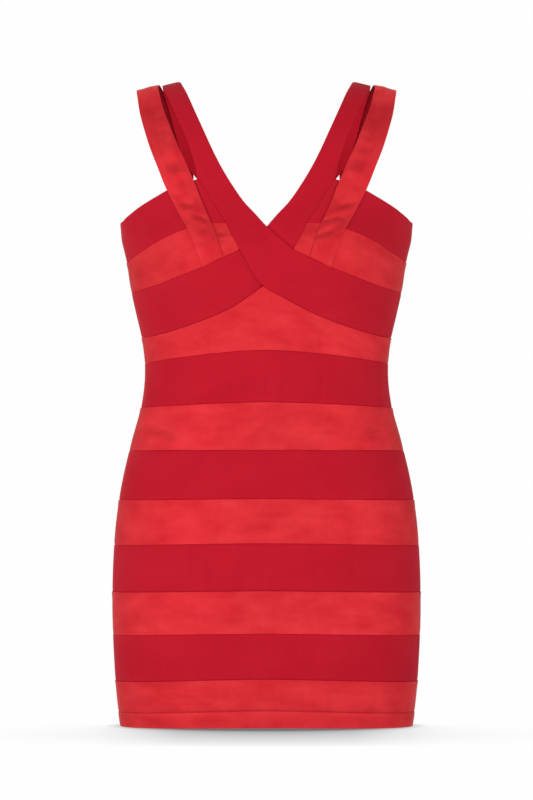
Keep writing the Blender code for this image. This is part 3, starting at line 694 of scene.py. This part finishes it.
def makeFinish(name, settings, paintedLightScale=1.0):
    material, tree, shader = newMaterial(name)
    over = settings.get("over", "cloth")
    noise = {layer: noiseFrom(tree, over, *facts) for layer, facts in settings["noise"].items()}
    # the clouds mix colour into deeper: dye in the crepe, weave in the tape, wear on the zip metal, painted
    # sheen in the satin
    clouds = 0.0
    for layer, share in settings["clouds"].items():
        clouds = worked(tree, "MULTIPLY_ADD", noise[layer], share, clouds)
    clouds = spread(tree, clouds, 0.0, 1.0, *settings["contrast"])
    inputs = {"Base Color": mixedColour(tree, clouds, settings["colour"], settings["deeper"], paintedLightScale)}
    if "gloss" in settings:
        inputs["Roughness"] = spread(tree, noise[settings["gloss"]], *settings["roughness"])
    if "heights" in settings:
        layers = [(noise[layer], height) for layer, height in settings["heights"].items()]
        inputs["Normal"] = bumped(tree, layers)
    feed(tree, shader, inputs | settings["shader"])
    return material


# sewing thread, as short stitches half sunk in the cloth
thread = {
    "colour": (0.400, 0.0070, 0.0150),
    "shade": 0.7,
    "twist": 900.0,
    "twistHeight": 0.00008,
    "roughness": 0.55,
    "stitch": 0.0027,
    "pitch": 0.0034,
    "width": 0.00052,
    "sides": 6,
    "rings": (-1.0, -0.86, -0.45, 0.45, 0.86, 1.0),     # along the half length
    "girth": (0.15, 0.70, 1.0, 1.0, 0.70, 0.15),
    "dip": 0.00018,         # how far the ends go down
}


def makeThread():
    material, tree, shader = newMaterial("thread")
    place = addNode(tree, "NewGeometry").outputs["Position"]
    inputs = {"Scale": thread["twist"], "Vector": place}
    twist = addNode(tree, "TexWave", inputs, bands_direction="DIAGONAL").outputs["Fac"]
    shaded = [c * thread["shade"] for c in thread["colour"]]
    feed(tree, shader, {
        "Base Color": mixedColour(tree, twist, shaded, thread["colour"]),
        "Normal": bumped(tree, [(twist, thread["twistHeight"])]),
        "Roughness": thread["roughness"],
    })
    return material


finishes = {
    "crepe": makeFinish("crepe", crepeFinish),
    # painted light: the insides are crepe made brighter (1.05 for crepe, 1.35 for satin, partly a paler
    # lining) against their shade
    "crepeReverse": makeFinish("crepe reverse", crepeFinish, 1.05),
    "satin": makeFinish("satin", satinFinishAndPaintedSheen),
    "satinReverse": makeFinish("satin reverse", crepeFinish, 1.35),
    # painted shade: the satin straps' undersides are crepe at half brightness, as the shadow beside the straps
    "strapShadedReverse": makeFinish("strap reverse", crepeFinish, 0.50),
    "thread": makeThread(),
    "zipTape": makeFinish("zip tape", zipTapeFinish),
    "zipMetal": makeFinish("zip metal", zipMetalFinish),
}
print("cloth finishes made")

# one crossover, from the shoulder at -X to the side seam at +X: outer x, z and inner x, z
crossover = {
    "rungs": (
        (-122.5, 0, -101.5, 0), (-121.8, -2.1, -99.8, -2.1), (-120, -8.4, -96.5, -8.4),
        (-109, -32.7, -85.5, -32.7), (-93, -70, -69, -70), (-83.2, -100, -54.7, -100),
        (-78.7, -118.5, -41.3, -123), (-70, -132.5, -26.5, -144.5), (-59, -150.2, -13, -159.2),
        (-46.5, -170.5, 0, -173.5), (-39, -186, 15.5, -187.5), (-30.6, -200.6, 30.6, -200.6),
        (-16.5, -226.5, 45.5, -208), (-4, -242.5, 60, -214.8), (18.5, -255.3, 74, -220.8),
        (37.5, -265.5, 87, -226), (56, -274.5, 100, -230.7), (76, -282.2, 114, -235.5),
        (96, -288.8, 128, -240.2), (115.5, -294.5, 140.5, -243.4), (131.8, -298.2, 149, -245.3),
        (142.8, -299.5, 154.8, -246.5),
    ),
    "neckRow": 6,           # rung at which the outer edge leaves the top edge of the bust
    "topSeamRow": 9,        # where it meets the upper bust seam
    "crossingRow": 11,      # where it meets the other crossover
    "peakRow": 13,          # where both cross in the middle
    "sink": 0.0019,         # the lower one is pressed in this far at the crossing
    "kept": 0.0004,         # past the upper one's edge
    "ramp": 0.0065,
    "slant": math.radians(40.0),
    "lowerMiddle": ((4, -242.5), (18.5, -253)),        # outer x, z of the lower one there
    "darts": (0.66,),       # shares of the length
}


def crossoverEdges(lower=False):
    rungs = np.array(crossover["rungs"])
    if lower:
        row = crossover["peakRow"]
        rungs[row:row + 2, :2] = crossover["lowerMiddle"]
    outer, inner = rungPaths(rungs)
    outer[-1, 0] = inner[-1, 0] = sideSeam
    return outer, inner


def sunkUnder(outer, inner):
    low = skinPoint(*outer[crossover["neckRow"] * perStretch:].T)
    high = skinPoint(*inner.T)

    def lift(points, distances):
        x, z = points[..., 0], points[..., 2]
        above = z - np.interp(x, high[:, 0], high[:, 2])
        below = np.interp(x, low[:, 0], low[:, 2]) - z
        outside = np.maximum(above, below) * math.cos(crossover["slant"])
        return -crossover["sink"] * (1 - smoothStep((outside - crossover["kept"]) / crossover["ramp"]))

    return lift


def makeCrossovers():
    outer, inner = crossoverEdges()
    lowerOuter, _ = crossoverEdges(lower=True)
    darts = crossover["darts"]
    makeCloth("crossover_right", ribbonGrid(outer, inner, darts), ["crepe_strap_back_right"])
    makeCloth("crossover_left", ribbonGrid(mirrored(lowerOuter), mirrored(inner), darts),
              ["crepe_strap_back_left"], sunkUnder(outer, inner))


bust = {
    "topSeam": (
        (46.5, -170.5), (65, -170.9), (82, -173.7), (100, -179.2), (116.5, -186), (132, -193.6),
        (145, -201.6), (159.7, -211),
    ),
    "neckEdge": (
        (78.7, -118.5), (100, -124.8), (115.5, -131), (127, -137.3), (139, -144), (150, -150.5),
        (159, -156.8), (168, -164),
    ),
}


def makeBust():
    outer, inner = crossoverEdges()
    fromNeck, fromTop, fromCrossing = [
        crossover[key] * perStretch for key in ("neckRow", "topSeamRow", "crossingRow")
    ]
    topSeam, neckEdge = tablePath(bust["topSeam"]), tablePath(bust["neckEdge"])
    topSeam[-1, 0] = neckEdge[-1, 0] = sideSeam
    panels = (
        ("top_crepe_front", "crossover", neckEdge, topSeam, fromNeck, fromTop),
        ("bust_satin_front", "top_crepe_front", topSeam, inner[fromCrossing:], fromTop, fromCrossing),
    )
    for name, above, top, bottom, start, end in panels:
        grid = panelGrid(top, bottom, mirrored(outer[start:end + 1]))
        makeCloth(f"{name}_left", grid, [f"{above}_left"])
        makeCloth(f"{name}_right", mirrored(grid), [f"{above}_right"])


# the level seams: what lies below each, its height at the side seam and in the middle of the front
levelSeams = (
    ("waist_crepe", -0.3290, -0.3155),
    ("waist_satin", -0.3812, -0.3753),
    ("high_hip_crepe", -0.4310, -0.4305),
    ("high_hip_satin", -0.4887, -0.4867),
    ("hip_crepe", -0.5411, -0.5377),
    ("hip_satin", -0.5957, -0.5921),
    ("thigh_crepe", -0.6456, -0.6413),
    ("hem_satin", -0.6998, -0.6935),
    ("nothing", -0.7526, -0.7496),
)
# the seams of the upper back: what lies below each, its height at the side seam and behind
backTopSeams = (
    ("top_crepe", -0.1640, -0.1700),
    ("bust_satin", -0.2110, -0.2110),
    ("underbust_crepe", -0.2465, -0.2480),
    ("underbust_satin", -0.2995, -0.2985),
)


def levelPath(seam, start, end, count=120):
    turns = np.linspace(start, end, count + 1)
    _, side, middle = seam
    if max(abs(start), abs(end)) <= sideSeam:
        heights = bowed(turns, side, middle)
    else:
        share = smoothStep((np.abs(turns) - sideSeam) / seamShape["backReach"])
        heights = side + (middle - side) * share * (seam in backTopSeams)
    return np.stack((turns, riseOf(heights)), axis=-1)


underbust = {"darts": (-0.067, -0.040, 0.032, 0.062)}        # x of the dart seams


def makeUnderbustSatin():
    left, right = [
        crossoverEdges(lower)[0][crossover["peakRow"] * perStretch:] for lower in (False, True)
    ]
    top = np.concatenate((mirrored(right)[::-1], left[1:]))
    bottom = levelPath(levelSeams[0], -sideSeam, sideSeam)
    lengths = pathLengths(bottom)
    darts = np.interp(underbust["darts"], skinPoint(*bottom.T)[:, 0], lengths) / lengths[-1]
    grid = panelGrid(top, bottom, darts=darts)
    makeCloth("underbust_satin_front", grid, ["crossover_right", "crossover_left"])


def makeBands():
    reaches = {"front": (-sideSeam, sideSeam), "back_left": (sideSeam, back), "back_right": (-back, -sideSeam)}
    for label, (start, end) in reaches.items():
        seams, above = levelSeams, ["underbust_satin_front"]
        if label != "front":
            seams = backTopSeams + levelSeams
            above = [f"crepe_strap_{label}", f"satin_strap_{label}"]
        for upper, lower in zip(seams, seams[1:]):
            between = [("stitching", *hem["stitching"])] if upper[0] == "hem_satin" else []
            paths = [levelPath(level, start, end) for level in (upper, *between, lower)]
            name = f"{upper[0]}_{label}"
            makeCloth(name, bandGrid(paths), above)
            above = [name]


straps = {
    "satin_strap_front": {      # at -X, down to the seam under the bust panel
        "rungs": (
            (-152, 0, -126.2, 0), (-151.8, -2.1, -126.2, -2.1), (-150.8, -8.4, -125.6, -8.4),
            (-146.8, -32.7, -119.6, -32.7), (-137, -70, -106, -70), (-126.5, -100, -92.7, -100),
            (-117, -125, -81.6, -125), (-107.5, -145, -74.1, -144.5), (-98, -163, -67, -161),
            (-88.8, -180, -61.2, -174.5), (-82.2, -195, -56, -188), (-77, -209, -52.5, -199.5),
            (-73.5, -221.6, -50, -210),
        ),
        "behind": False, "wall": 0.0012, "lift": 0.0018,
        "tuck": 0.004,      # its end is drawn into the seam over this length
    },
    "satin_strap_back": {       # at +X, down over the top edge of the back
        "rungs": (
            (152, 0, 125.4, 0), (151.8, -2.1, 123.6, -2.1), (151, -8.4, 120.6, -8.4),
            (146.8, -32.7, 113.6, -32.7), (137, -70, 103, -70), (127.5, -95, 90.2, -95),
            (124, -104.5, 86.6, -104.5), (120.5, -112, 87.6, -112), (112, -134, 83.2, -134),
            (105, -158, 75.5, -158), (101, -180, 72, -180),
        ),
        "behind": True, "wall": 0.0012, "lift": 0.0018, "tuck": 0.0,
    },
    "crepe_strap_back": {       # at +X, down to the top edge of the back
        "rungs": (
            (122.5, 0, 101.5, 0), (122.2, -2.1, 99.8, -2.1), (121.2, -8.4, 96.2, -8.4),
            (114, -32.7, 84.2, -32.7), (104, -70, 67, -70), (92.6, -95, 54, -96), (80.6, -110.5, 40, -117.5),
            (68, -134, 23, -141), (50.5, -170, 2.5, -170),
        ),
        "behind": True, "wall": sewing["wall"], "lift": 0.0, "tuck": 0.0,
    },
}
strapStitching = {"up": (0.0040, 0.0100), "margin": 0.06, "proud": 0.00005}     # two rows across each end


def strapLift(settings):
    def lift(points, distances):
        drawn = smoothStep(distances["right"] / settings["tuck"] + 0.15) if settings["tuck"] else 1.0
        return settings["lift"] * drawn

    return lift


def makeStraps():
    for name, settings in straps.items():
        behind = settings["behind"]
        grid = ribbonGrid(*rungPaths(settings["rungs"], behind))
        for side, signs in zip(("left", "right") if behind else ("right", "left"), (1, -1)):
            above = [] if behind else [f"satin_strap_back_{side}"]
            makeCloth(f"{name}_{side}", grid * (signs, 1), above, strapLift(settings), settings["wall"])


makeCrossovers()
makeBust()
makeUnderbustSatin()
makeBands()
makeStraps()


def tubes(spine, wide, high, sides):        # closed tubes, from the two half widths of each ring
    angles = np.arange(sides)[:, None] * 2 * math.pi / sides
    points = spine[:, :, None] + wide[:, :, None] * np.cos(angles) + high[:, :, None] * np.sin(angles)
    index = np.arange(points[..., 0].size).reshape(points.shape[:3])
    after = np.roll(index, -1, axis=2)
    faces = np.stack((index[:, :-1], after[:, :-1], after[:, 1:], index[:, 1:]), axis=-1).reshape(-1, 4)
    caps = np.concatenate((index[:, 0, ::-1], index[:, -1]))
    return points.reshape(-1, 3), [*faces.tolist(), *caps.tolist()]


def stitchRow(path, out):
    lengths = pathLengths(path)
    count = int(lengths[-1] / thread["pitch"])
    middles = (np.arange(count) + 0.5) * lengths[-1] / count
    rings = np.array(thread["rings"])
    where = readAt(path, lengths, middles[:, None] + rings * thread["stitch"] / 2)
    turn, rise = where[..., 0], where[..., 1]
    normals = skinNormal(turn, rise)
    spine = skinPoint(turn, rise) + normals * (out - thread["dip"] * rings**4)[:, None]
    sides = np.cross(normals, np.gradient(spine, axis=1))
    sides /= np.linalg.norm(sides, axis=-1, keepdims=True)
    radius = np.array(thread["girth"])[:, None] * thread["width"] / 2
    return tubes(spine, sides * radius, normals * radius, thread["sides"])


def sewn(name, rows):
    return attached(meshFrom(name, *joined(rows), [finishes["thread"]]))


def sewHem():
    turns = np.linspace(-back, back, 721)
    path = np.stack((turns, riseOf(hemLine(turns))), axis=-1)
    sewn("hemStitching", [stitchRow(path, -hem["groove"] + hem["doubled"] / 2 + hem["stitchProud"])])


def sewStrapEnds():
    strap = straps["satin_strap_back"]
    edges = rungPaths(strap["rungs"], True)
    margin = strapStitching["margin"]
    rows = []
    for up in strapStitching["up"]:
        start, end = [pathAt(edge, [1 - up / pathLengths(edge)[-1]])[0] for edge in edges]
        for signs in (1, -1):
            line = pathAt(straight(start, end) * (signs, 1), np.linspace(margin, 1 - margin, 24))
            rows.append(stitchRow(line, strap["lift"] + strapStitching["proud"]))
    sewn("strapStitching", rows)


zipper = {
    "top": -0.172,
    "foot": -0.520,
    "tapeWidth": 0.024,
    "tapeStops": (-1.0, -0.985, -0.95, -0.8, -0.6, -0.4, -0.2, -0.06, -0.02, 0.0),
    "tapeRows": 140,
    "tapeThickness": 0.0008,
    "ribs": (0.00006, 0.0011),  # height and pitch
    "depth": 0.0024,            # of the tape's outer face below the outer face of the cloth
    "coilPitch": 0.0013,
    "coil": (0.0042, 0.00085, 0.0010),      # across, along and through
    "coilEnds": (0.004, 0.006),     # short of the tapes' ends
    "sliderAt": -0.179,
    "slider": (0.0056, 0.0090, 0.0022),     # across, along and through
    "sliderCorner": 0.0019,
    "bridge": (0.0018, 0.0056, 0.0026),
    "bridgeWindow": (0.0036, 0.0017),       # along and through
    "pull": {
        "thickness": 0.0010, "length": 0.0200, "eye": 0.0064, "bar": 0.0010, "window": 0.0032,
        "neck": 0.0030, "tip": 0.0058, "corner": 0.0006,
    },
    "standOff": 0.0003,
    "rounding": 0.00025,
}


def makeZipTapes():
    depth, thickness = zipper["depth"], zipper["tapeThickness"]
    heights = np.linspace(zipper["top"], zipper["foot"], zipper["tapeRows"])
    across = np.array(zipper["tapeStops"]) * zipper["tapeWidth"] / 2
    ribHeight, ribPitch = zipper["ribs"]
    parts, maps = [], []
    for side in (1, -1):
        turn = back + across * side / figureSize(1, heights)[:, None]
        rise = riseOf(heights)[:, None] + 0 * turn
        base = skinPoint(turn, rise)
        distances = edgeDistances(base)
        drop = turnedIn(distances, thickness / 2)
        rib = ribHeight * np.sin(distances["top"] * 2 * math.pi / ribPitch)
        flat = np.stack((distances["left"], -distances["top"]), axis=-1)
        points, faces, flat = twoSided(base, skinNormal(turn, rise), rib - depth - drop,
                                       drop - depth - thickness, flat)
        parts.append((points, np.concatenate(faces)))
        maps.append(flat)
    attached(meshFrom("zipTapes", *joined(parts), [finishes["zipTape"]], None, np.concatenate(maps)),
             "zip_tape")


def makeZipCoil():      # the teeth, a rounded bar for each turn of the coil, inside the tapes
    wide, long, thick = zipper["coil"]
    start, end = zipper["coilEnds"]
    heights = np.arange(zipper["top"] - start, zipper["foot"] + end, -zipper["coilPitch"])
    rings = np.linspace(-1, 1, 9)
    girth = np.sqrt(np.clip(1 - np.abs(rings) ** 5, 0.04, 1))[:, None]
    turn = back + rings * wide / 2 / figureSize(1, heights)[:, None]
    rise = riseOf(heights)[:, None] + 0 * turn
    normals = skinNormal(turn, rise)
    spine = skinPoint(turn, rise) - normals * (zipper["depth"] + zipper["tapeThickness"] + thick * 0.35)
    down = girth * (0.0, 0.0, -long / 2) + 0 * normals
    bars = tubes(spine, down, -normals * girth * thick / 2, 8)
    attached(meshFrom("zipCoil", *bars, [finishes["zipTape"]]))


def backPlace(stand, axes):     # where a flat outline of the slider goes, on these two axes
    z, step = zipper["sliderAt"], 0.002
    rise = skinPoint(back, riseOf(z + step)) - skinPoint(back, riseOf(z - step))
    down = -rise / np.linalg.norm(rise)
    across = np.array((1.0, 0.0, 0.0))
    named = {"down": down, "across": across, "out": np.cross(across, down)}
    columns = [named[axis] for axis in axes]
    columns.append(np.cross(*columns))
    columns.append(skinPoint(back, riseOf(z)) + named["out"] * stand)
    return Matrix(np.vstack((np.stack(columns, axis=1), (0.0, 0.0, 0.0, 1.0))).tolist())


def outlined(name, loops, thickness, matrix):       # a flat outline with holes and rounded edges, in place
    outline = bpy.data.curves.new(name, "CURVE")
    outline.dimensions = "2D"
    outline.fill_mode = "BOTH"
    rounding = zipper["rounding"]
    outline.extrude = thickness / 2 - rounding
    outline.bevel_depth = rounding
    outline.bevel_resolution = 3
    outline.offset = -rounding
    for loop in loops:
        spline = outline.splines.new("POLY")
        spline.points.add(len(loop) - 1)
        spline.use_cyclic_u = True
        for point, (x, y) in zip(spline.points, loop):
            point.co = (x, y, 0.0, 1.0)
    holder = added(name, outline)
    mesh = bpy.data.meshes.new_from_object(holder.evaluated_get(bpy.context.evaluated_depsgraph_get()))
    bpy.data.objects.remove(holder)
    bm = bmesh.new()
    bm.from_mesh(mesh)
    bmesh.ops.remove_doubles(bm, verts=bm.verts, dist=1e-6)
    bmesh.ops.recalc_face_normals(bm, faces=bm.faces)
    bm.to_mesh(mesh)
    bm.free()
    mesh.transform(matrix)
    return mesh


def metalPiece(name, meshes, node, body):
    bm = bmesh.new()
    for mesh in meshes:
        bm.from_mesh(mesh)
    mesh = bpy.data.meshes.new(name)
    bm.to_mesh(mesh)
    bm.free()
    mesh.materials.clear()
    mesh.materials.append(finishes["zipMetal"])
    mesh.shade_smooth()
    mesh.set_sharp_from_angle(angle=math.radians(40.0))
    return attached(added(name, mesh), node, body)


def roundedBox(halfX, halfY, corner):
    loop = []
    for sideX, sideY, start in ((1, 1, 0), (-1, 1, 90), (-1, -1, 180), (1, -1, 270)):
        for angle in np.radians(start + np.arange(0, 91, 18)):
            loop.append((sideX * (halfX - corner) + corner * math.cos(angle),
                         sideY * (halfY - corner) + corner * math.sin(angle)))
    return loop


def archLoop(long, foot, high, fullness, steps):        # half an oval that stands on its foot
    angles = [math.pi * k / steps for k in range(steps + 1)]
    return [(-long / 2 * math.cos(a), foot + high * math.sin(a) ** fullness) for a in angles]


def makeSlider():
    wide, long, thick = zipper["slider"]
    bridgeWide, bridgeLong, bridgeHigh = zipper["bridge"]
    windowLong, windowHigh = zipper["bridgeWindow"]
    body = outlined("sliderBody", [roundedBox(long / 2, wide / 2, zipper["sliderCorner"])], thick,
                    backPlace(zipper["standOff"] + thick / 2, ("down", "across")))
    arch = archLoop(bridgeLong, thick / 2, thick / 2 + bridgeHigh, 0.6, 24)
    hole = archLoop(windowLong, thick * 0.8, thick * 0.2 + windowHigh, 0.5, 16)
    place = backPlace(zipper["standOff"], ("down", "out"))
    bridge = outlined("sliderBridge", [arch, hole], bridgeWide, place)
    metalPiece("zipSlider", [body, bridge], "zip_slider", "dress")


def makePull():
    pull = zipper["pull"]
    stand = zipper["standOff"] + zipper["slider"][2] + zipper["bridgeWindow"][1] / 2
    bar, eye, neck, tip, window = [pull[key] / 2 for key in ("bar", "eye", "neck", "tip", "window")]
    corner = pull["corner"]
    eyeEnd = bar + pull["window"] + pull["bar"]
    roundFrom = pull["length"] - tip
    outline = [(-bar, corner - eye), (corner / 2 - bar, -eye)]
    outline += [(eyeEnd - 0.0008, -eye), (eyeEnd, corner / 2 - eye)]
    for k in range(1, 8):       # in to the neck and out to the tip
        share = k / 8
        half = neck + (eye - neck) * (1 - share) ** 3 * 0.7 + (tip - neck) * smoothStep(share) ** 1.5
        outline.append((eyeEnd + (roundFrom - eyeEnd) * share, -half))
    arc = [math.radians(a) for a in range(90, -91, -10)]
    outline += [(roundFrom + tip * math.cos(a), -tip * math.sin(a)) for a in arc]
    outline += [(x, -y) for x, y in outline[10::-1]]
    hole = [(bar + window + x, y) for x, y in roundedBox(window, window, corner)]
    tab = outlined("pullTab", [outline, hole], pull["thickness"], backPlace(stand, ("down", "across")))
    metalPiece("zipPull", [tab], "zip_pull", "zip_pull")


sewHem()
sewStrapEnds()
makeZipTapes()
makeZipCoil()
makeSlider()
makePull()
print("stitching and zip made")
print("cloth made:", len(made), "pieces")

# a fade is what it starts and ends at, then where it starts and ends
studio = {
    "floor": {
        "paper": (0.99, 0.99, 0.99, 1.0),
        "belowHem": 0.0025,
        "reach": 12.0,
        "shadowReach": 0.29,
        "shadowRays": 32,
        "shadow": (1.0, 0.0, 0.03, 0.945),      # painted shadow from AO rays: fade from dark to clear as more of them get free
        "shadowHeading": (0.0, 1.0, 0.15),      # the painted shadow's AO rays lean to the far side
        "sides": (1.0, 0.35, 0.100, 0.200),     # the painted shadow is thinned towards the sides, by X alone
        "glow": (0.76, 0.52, -0.20, 0.45),      # painted glow: what it gives to the cloth, fading along Y
        "near": (0.72, 1.0, 0.20, 0.80),        # painted shade in the glow: it gives less beside the hem
        "nearShape": (1.0, 0.50),
        "under": (0.30, 1.0, 0.80, 1.08),       # painted shadow: the dark patch under the hem
        "underShape": (0.1750, 0.1150),         # half width and depth
    },
    "camera": {"distance": 5.0, "height": -0.442, "tilt": 60, "pixels": 800, "metresPerPixel": 0.001173},
    "room": {
        "bands": (      # height of the line of sight, and how bright the room is there
            (-1.0, 0.84), (-0.45, 0.90), (-0.15, 0.74), (0.0, 0.60), (0.11, 0.60), (0.19, 0.66),
            (0.25, 1.14), (0.33, 0.90), (0.42, 0.64), (0.50, 0.44), (0.58, 0.48), (0.68, 0.34),
            (0.78, 0.32), (1.0, 0.14),
        ),
        "farHeading": (0.40, 0.92, 0.0),
        "far": (1.0, 0.56, -0.25, 0.85),        # less of it in the dim far corner
        "topHeading": (0.0, 0.50, 0.87),
        "top": (0.0, 0.55, 0.68, 0.95),         # a lamp high up behind, as a soft patch
    },
    "lamps": {
        "key": {"place": (-2.8, -3.4, -0.3), "size": 2.4, "power": 97.0},
        "fill": {"place": (3.2, -2.8, -0.3), "size": 2.0, "power": 46.0},
        "rear": {"place": (-0.8, 3.2, 0.3), "size": 2.4, "power": 90.0},
    },
}


def reachFrom(tree, spot, shape):       # distance from the middle, 1 on the ellipse with these half widths
    flat = {axis: worked(tree, "DIVIDE", spot.outputs[axis], half) for axis, half in zip("XY", shape)}
    flat = addNode(tree, "CombineXYZ", flat).outputs["Vector"]
    return addNode(tree, "VectorMath", {0: flat}, operation="LENGTH").outputs["Value"]


def makeFloor():
    floor = studio["floor"]
    # the floor glows and is not lit: camera rays see the paper under a painted shadow made from AO rays
    material, tree, _ = newMaterial("pale floor with painted shadow")
    heading = addNode(tree, "CombineXYZ", zip("XYZ", floor["shadowHeading"])).outputs["Vector"]
    shade = addNode(tree, "AmbientOcclusion", {"Distance": floor["shadowReach"], "Normal": heading},
                    samples=floor["shadowRays"])
    spot = addNode(tree, "SeparateXYZ", {"Vector": addNode(tree, "NewGeometry").outputs["Position"]})
    thinned = spread(tree, worked(tree, "ABSOLUTE", spot.outputs["X"]), *floor["sides"])
    shadow = worked(tree, "MULTIPLY", spread(tree, shade.outputs["AO"], *floor["shadow"]), thinned)
    under = spread(tree, reachFrom(tree, spot, floor["underShape"]), *floor["under"])
    near = spread(tree, reachFrom(tree, spot, floor["nearShape"]), *floor["near"])
    # the cloth sees the floor's painted glow, and the camera sees the paper with its painted shadow
    strength = addNode(tree, "Mix", {
        "Factor": addNode(tree, "LightPath").outputs["Is Camera Ray"],
        "A": worked(tree, "MULTIPLY", spread(tree, spot.outputs["Y"], *floor["glow"]), near),
        "B": worked(tree, "MULTIPLY", worked(tree, "SUBTRACT", 1.0, shadow), under),
    }, data_type="FLOAT")
    paper = addNode(tree, "Emission", {"Color": floor["paper"], "Strength": strength.outputs["Result"]})
    feed(tree, tree.nodes["Material Output"], {"Surface": paper.outputs["Emission"]})
    z = cadBox[0][2] - floor["belowHem"]
    reach = floor["reach"]
    corners = [(x * reach, y * reach, z) for x, y in ((-1, -1), (1, -1), (1, 1), (-1, 1))]
    meshFrom("floor", corners, [(0, 1, 2, 3)], [material])


def makeRoom():
    world = bpy.data.worlds.new("studio room")
    bpy.context.scene.world = world
    world.use_nodes = True
    tree = world.node_tree
    room = studio["room"]
    sight = addNode(tree, "TexCoord").outputs["Generated"]

    def along(heading):
        return addNode(tree, "VectorMath", {0: sight, 1: heading}, operation="DOT_PRODUCT").outputs["Value"]

    upwards = spread(tree, along((0.0, 0.0, 1.0)), 0.0, 1.0, -1.0, 1.0)
    bands = addNode(tree, "FloatCurve", {"Value": upwards})
    curve = bands.mapping.curves[0]
    for point, (height, strength) in zip(curve.points, (room["bands"][0], room["bands"][-1])):
        point.location = (height / 2 + 0.5, strength)
    for height, strength in room["bands"][1:-1]:
        curve.points.new(height / 2 + 0.5, strength)
    bands.mapping.update()
    far = spread(tree, along(room["farHeading"]), *room["far"])
    top = spread(tree, along(room["topHeading"]), *room["top"])
    walls = tree.nodes["Background"]
    strength = worked(tree, "MULTIPLY_ADD", bands.outputs["Value"], far, top)
    feed(tree, walls, {"Color": (1.0, 1.0, 1.0, 1.0), "Strength": strength})
    backdrop = addNode(tree, "Background", {"Color": studio["floor"]["paper"]})
    cameraRay = addNode(tree, "LightPath").outputs["Is Camera Ray"]
    mix = addNode(tree, "MixShader", {0: cameraRay, 1: walls.outputs[0], 2: backdrop.outputs[0]})
    feed(tree, tree.nodes["World Output"], {"Surface": mix.outputs[0]})


def makeLamps():
    middle = Vector((0.0, 0.0, (cadBox[0][2] + cadBox[1][2]) / 2))
    for name, settings in studio["lamps"].items():
        data = bpy.data.lights.new(name, "AREA")
        data.shape = "DISK"
        data.size = settings["size"]
        data.energy = settings["power"]
        lamp = added(name, data)
        lamp.location = settings["place"]
        lamp.rotation_euler = (middle - lamp.location).to_track_quat("-Z", "Y").to_euler()
        lamp.visible_glossy = False


def makeCamera():
    settings = studio["camera"]
    focal = settings["distance"] / settings["metresPerPixel"]      # in pixels
    data = bpy.data.cameras.new("camera")
    data.sensor_width = 36.0
    data.lens = focal / settings["pixels"] * data.sensor_width
    data.clip_end = 100.0
    camera = added("camera", data)
    camera.location = (0.0, -settings["distance"], settings["height"])
    camera.rotation_euler = (math.pi / 2 + math.atan(settings["tilt"] / focal), 0.0, 0.0)
    bpy.context.scene.camera = camera
    bpy.context.scene.view_settings.view_transform = "Standard"


makeFloor()
makeRoom()
makeLamps()
makeCamera()
print("studio made")
